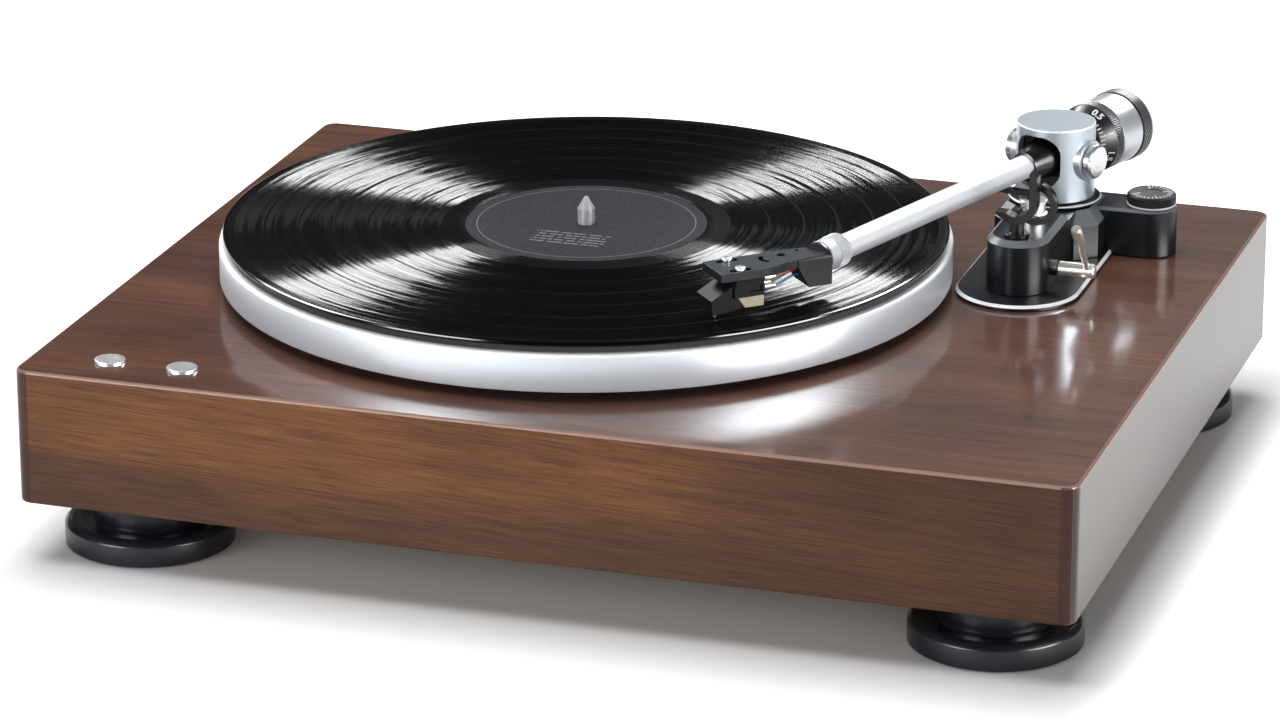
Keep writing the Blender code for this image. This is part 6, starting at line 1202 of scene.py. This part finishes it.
holes = [prism(bow, -head_through, head_through),
         rod(hole_radius, -head_through, head_through, 32, hole_x, hole_y),
         rod(dowel_radius, dowel_floor, head_through, 24, dowel_x, dowel_y)]
plug_front, plug_radius, plug_neck, plug_back = tube_end + 0.0017, 0.0066, 0.0036, 0.1626
beyond_plug = moved(block((-0.032, -0.16, -0.02), (0.032, 0.16, 0.02)),
                    to_arm @ Matrix.Translation((0, 0.16 - plug_front + 0.0008, 0)))
shell = carved(prism(plate, head_low, head_top), joined=[rear_block],
               cutters=[beyond_plug, *screw_slots, *holes])
settled("headshell_dressed", shell, head_grey, "tonearm", ("headshell",), head, sharp=25.0,
        edge=0.00025)
plug_black = Finish("plug_black", (0.020, 0.020, 0.022), 0.30, 0.3).grained(2400.0, 0.00002, 0.2)
plug = [(0.0, plug_front), (plug_radius - 0.0002, plug_front), (plug_radius, plug_front - 0.0002),
        (plug_radius, tube_end + 0.0004), (plug_neck, tube_end + 0.0003), (plug_neck, plug_back),
        (0.0, plug_back)]
settled("headshell_plug", moved(turned(plug, 72), forward), plug_black, "tonearm", (), yaw,
        sharp=28.0)

# Cartridge
# A black moulded body with ears, a cream shoe under it, and the faceted stylus block with its slanted
# visor. Two steel screws hold the ears through the slots of the headshell.
cartridge_black = Finish("cartridge_black", (0.007, 0.008, 0.010), 0.42, specular_ior_level=0.08)
cartridge_black.grained(2600.0, 0.00002, 0.2)
cream = Finish("cartridge_cream", (0.62, 0.55, 0.40), 0.34, specular_ior_level=0.5)
cream.grained(2600.0, 0.00002, 0.2)
cartridge_top, split = head_low - seat_gap, head_top - 0.0111
cartridge_half, cartridge_front, cartridge_back = 0.0078, -0.0030, 0.0100
ear_half, ear_front, ear_height, waist_depth = 0.0086, 0.0026, 0.0028, 0.0009
body = block((head_middle - cartridge_half, cartridge_front, split),
             (head_middle + cartridge_half, cartridge_back, cartridge_top))
ears = block((head_middle - ear_half, -ear_front, cartridge_top - ear_height),
             (head_middle + ear_half, ear_front, cartridge_top - 0.00002))
waist = [block((head_middle + sign * cartridge_half - waist_depth, 0.0034, split + 0.0016),
               (head_middle + sign * cartridge_half + waist_depth, 0.0090, cartridge_top - 0.0030))
         for sign in (-1, 1)]
settled("cartridge_body_dressed", carved(body, joined=[ears], cutters=waist), cartridge_black, "tonearm",
        ("cartridge_body",), head, sharp=25.0, edge=0.0003)
shoe_top, shoe_low, shoe_half = split - seat_gap, split - 0.0047, 0.0072
shoe_side = [(-0.0012, shoe_top), (0.0018, shoe_low), (cartridge_back, shoe_low), (cartridge_back, shoe_top)]
shoe = moved(prism(shoe_side, head_middle - shoe_half, head_middle + shoe_half), sideways)
settled("cartridge_shoe_dressed", shoe, cream, "tonearm", ("cartridge_shoe",), head, sharp=25.0,
        edge=0.0003)
stylus_tip, stylus_clearance, stylus_half, relief_half = -0.0176, 0.0032, 0.0070, 0.0038
stylus_floor = stylus_tip + seat_gap + stylus_clearance
stylus_side = [(-0.0018, shoe_top), (0.0012, shoe_low), (-0.0124, stylus_floor), (-0.0128, shoe_top),
               (-0.0036, shoe_top + 0.0052), (-0.0036, shoe_top)]
stylus = moved(prism(stylus_side, head_middle - stylus_half, head_middle + stylus_half), sideways)
relief = block((head_middle - relief_half, -0.0148, stylus_floor - stylus_clearance),
               (head_middle + relief_half, -0.0020, stylus_floor + 0.0016))
settled("stylus_block_dressed", carved(stylus, cutters=[relief]), cartridge_black, "tonearm",
        ("stylus_block",), head, sharp=25.0, edge=0.0004)
painted(polished, "cantilever")
screw_radius, screw_head, shank_radius, shank_length, notch_half = 0.0021, 0.0011, 0.00125, 0.0062, 0.0003
notch_reach, notch_floor, notch_high, screw_seat = 0.004, 0.0005, 0.003, head_top + seat_gap
screw_top, screw_end = screw_seat + screw_head, screw_seat - shank_length
profile = [(0.0, screw_top), (screw_radius - 0.0003, screw_top), (screw_radius - 0.0001, screw_top - 0.0001),
           (screw_radius, screw_top - 0.0003), (screw_radius, screw_seat), (shank_radius, screw_seat),
           (shank_radius, screw_end), (0.0, screw_end)]
for side_name, sign in (("left", -1), ("right", 1)):
    notch = block((-notch_reach, -notch_half, screw_seat + notch_floor),
                  (notch_reach, notch_half, screw_seat + notch_high))
    screw_place = head @ Matrix.Translation((head_middle + sign * screw_offset, 0, 0))
    settled(f"head_screw_{side_name}_dressed", carved(turned(profile, 48), cutters=[notch]), polished,
            "tonearm", (f"head_screw_{side_name}",), screw_place, sharp=28.0)

# Leads
# Four thin leads, white, red, green and blue, from the headshell's block to the cartridge. Each is pushed
# onto its pin with a plated clip.
lead_colours = {"white": (0.80, 0.80, 0.76), "red": (0.50, 0.02, 0.02), "green": (0.03, 0.28, 0.12),
                "blue": (0.03, 0.16, 0.55)}
pin_half_gap, pin_length, pin_drops = 0.00225, 0.0022, (0.0022, 0.0059)
clip_radius, clip_neck, clip_tip = 0.00105, 0.0008, 0.0047
clip_metal = Finish("clip_plated", (0.86, 0.83, 0.74), 0.3, 0.5).grained(2600.0, 0.00002, 0.2)
profile = [(0.0, 0.0), (clip_radius, 0.0), (clip_radius, clip_tip - 0.0017), (clip_neck, clip_tip - 0.0013),
           (clip_neck, clip_tip - 0.0003), (clip_neck - 0.0001, clip_tip), (0.0, clip_tip)]
for index, (lead, colour) in enumerate(lead_colours.items()):
    painted(Finish(f"lead_{lead}_sleeve", colour, 0.38).grained(3000.0, 0.00002, 0.2), f"lead_{lead}")
    pin_place = (head_middle + (-1, 1)[index % 2] * pin_half_gap, cartridge_back + pin_length + 0.0002,
                 cartridge_top - pin_drops[index // 2])
    settled(f"lead_{lead}_clip", turned(profile, 24), clip_metal, "tonearm", (),
            head @ Matrix.Translation(pin_place) @ backward)
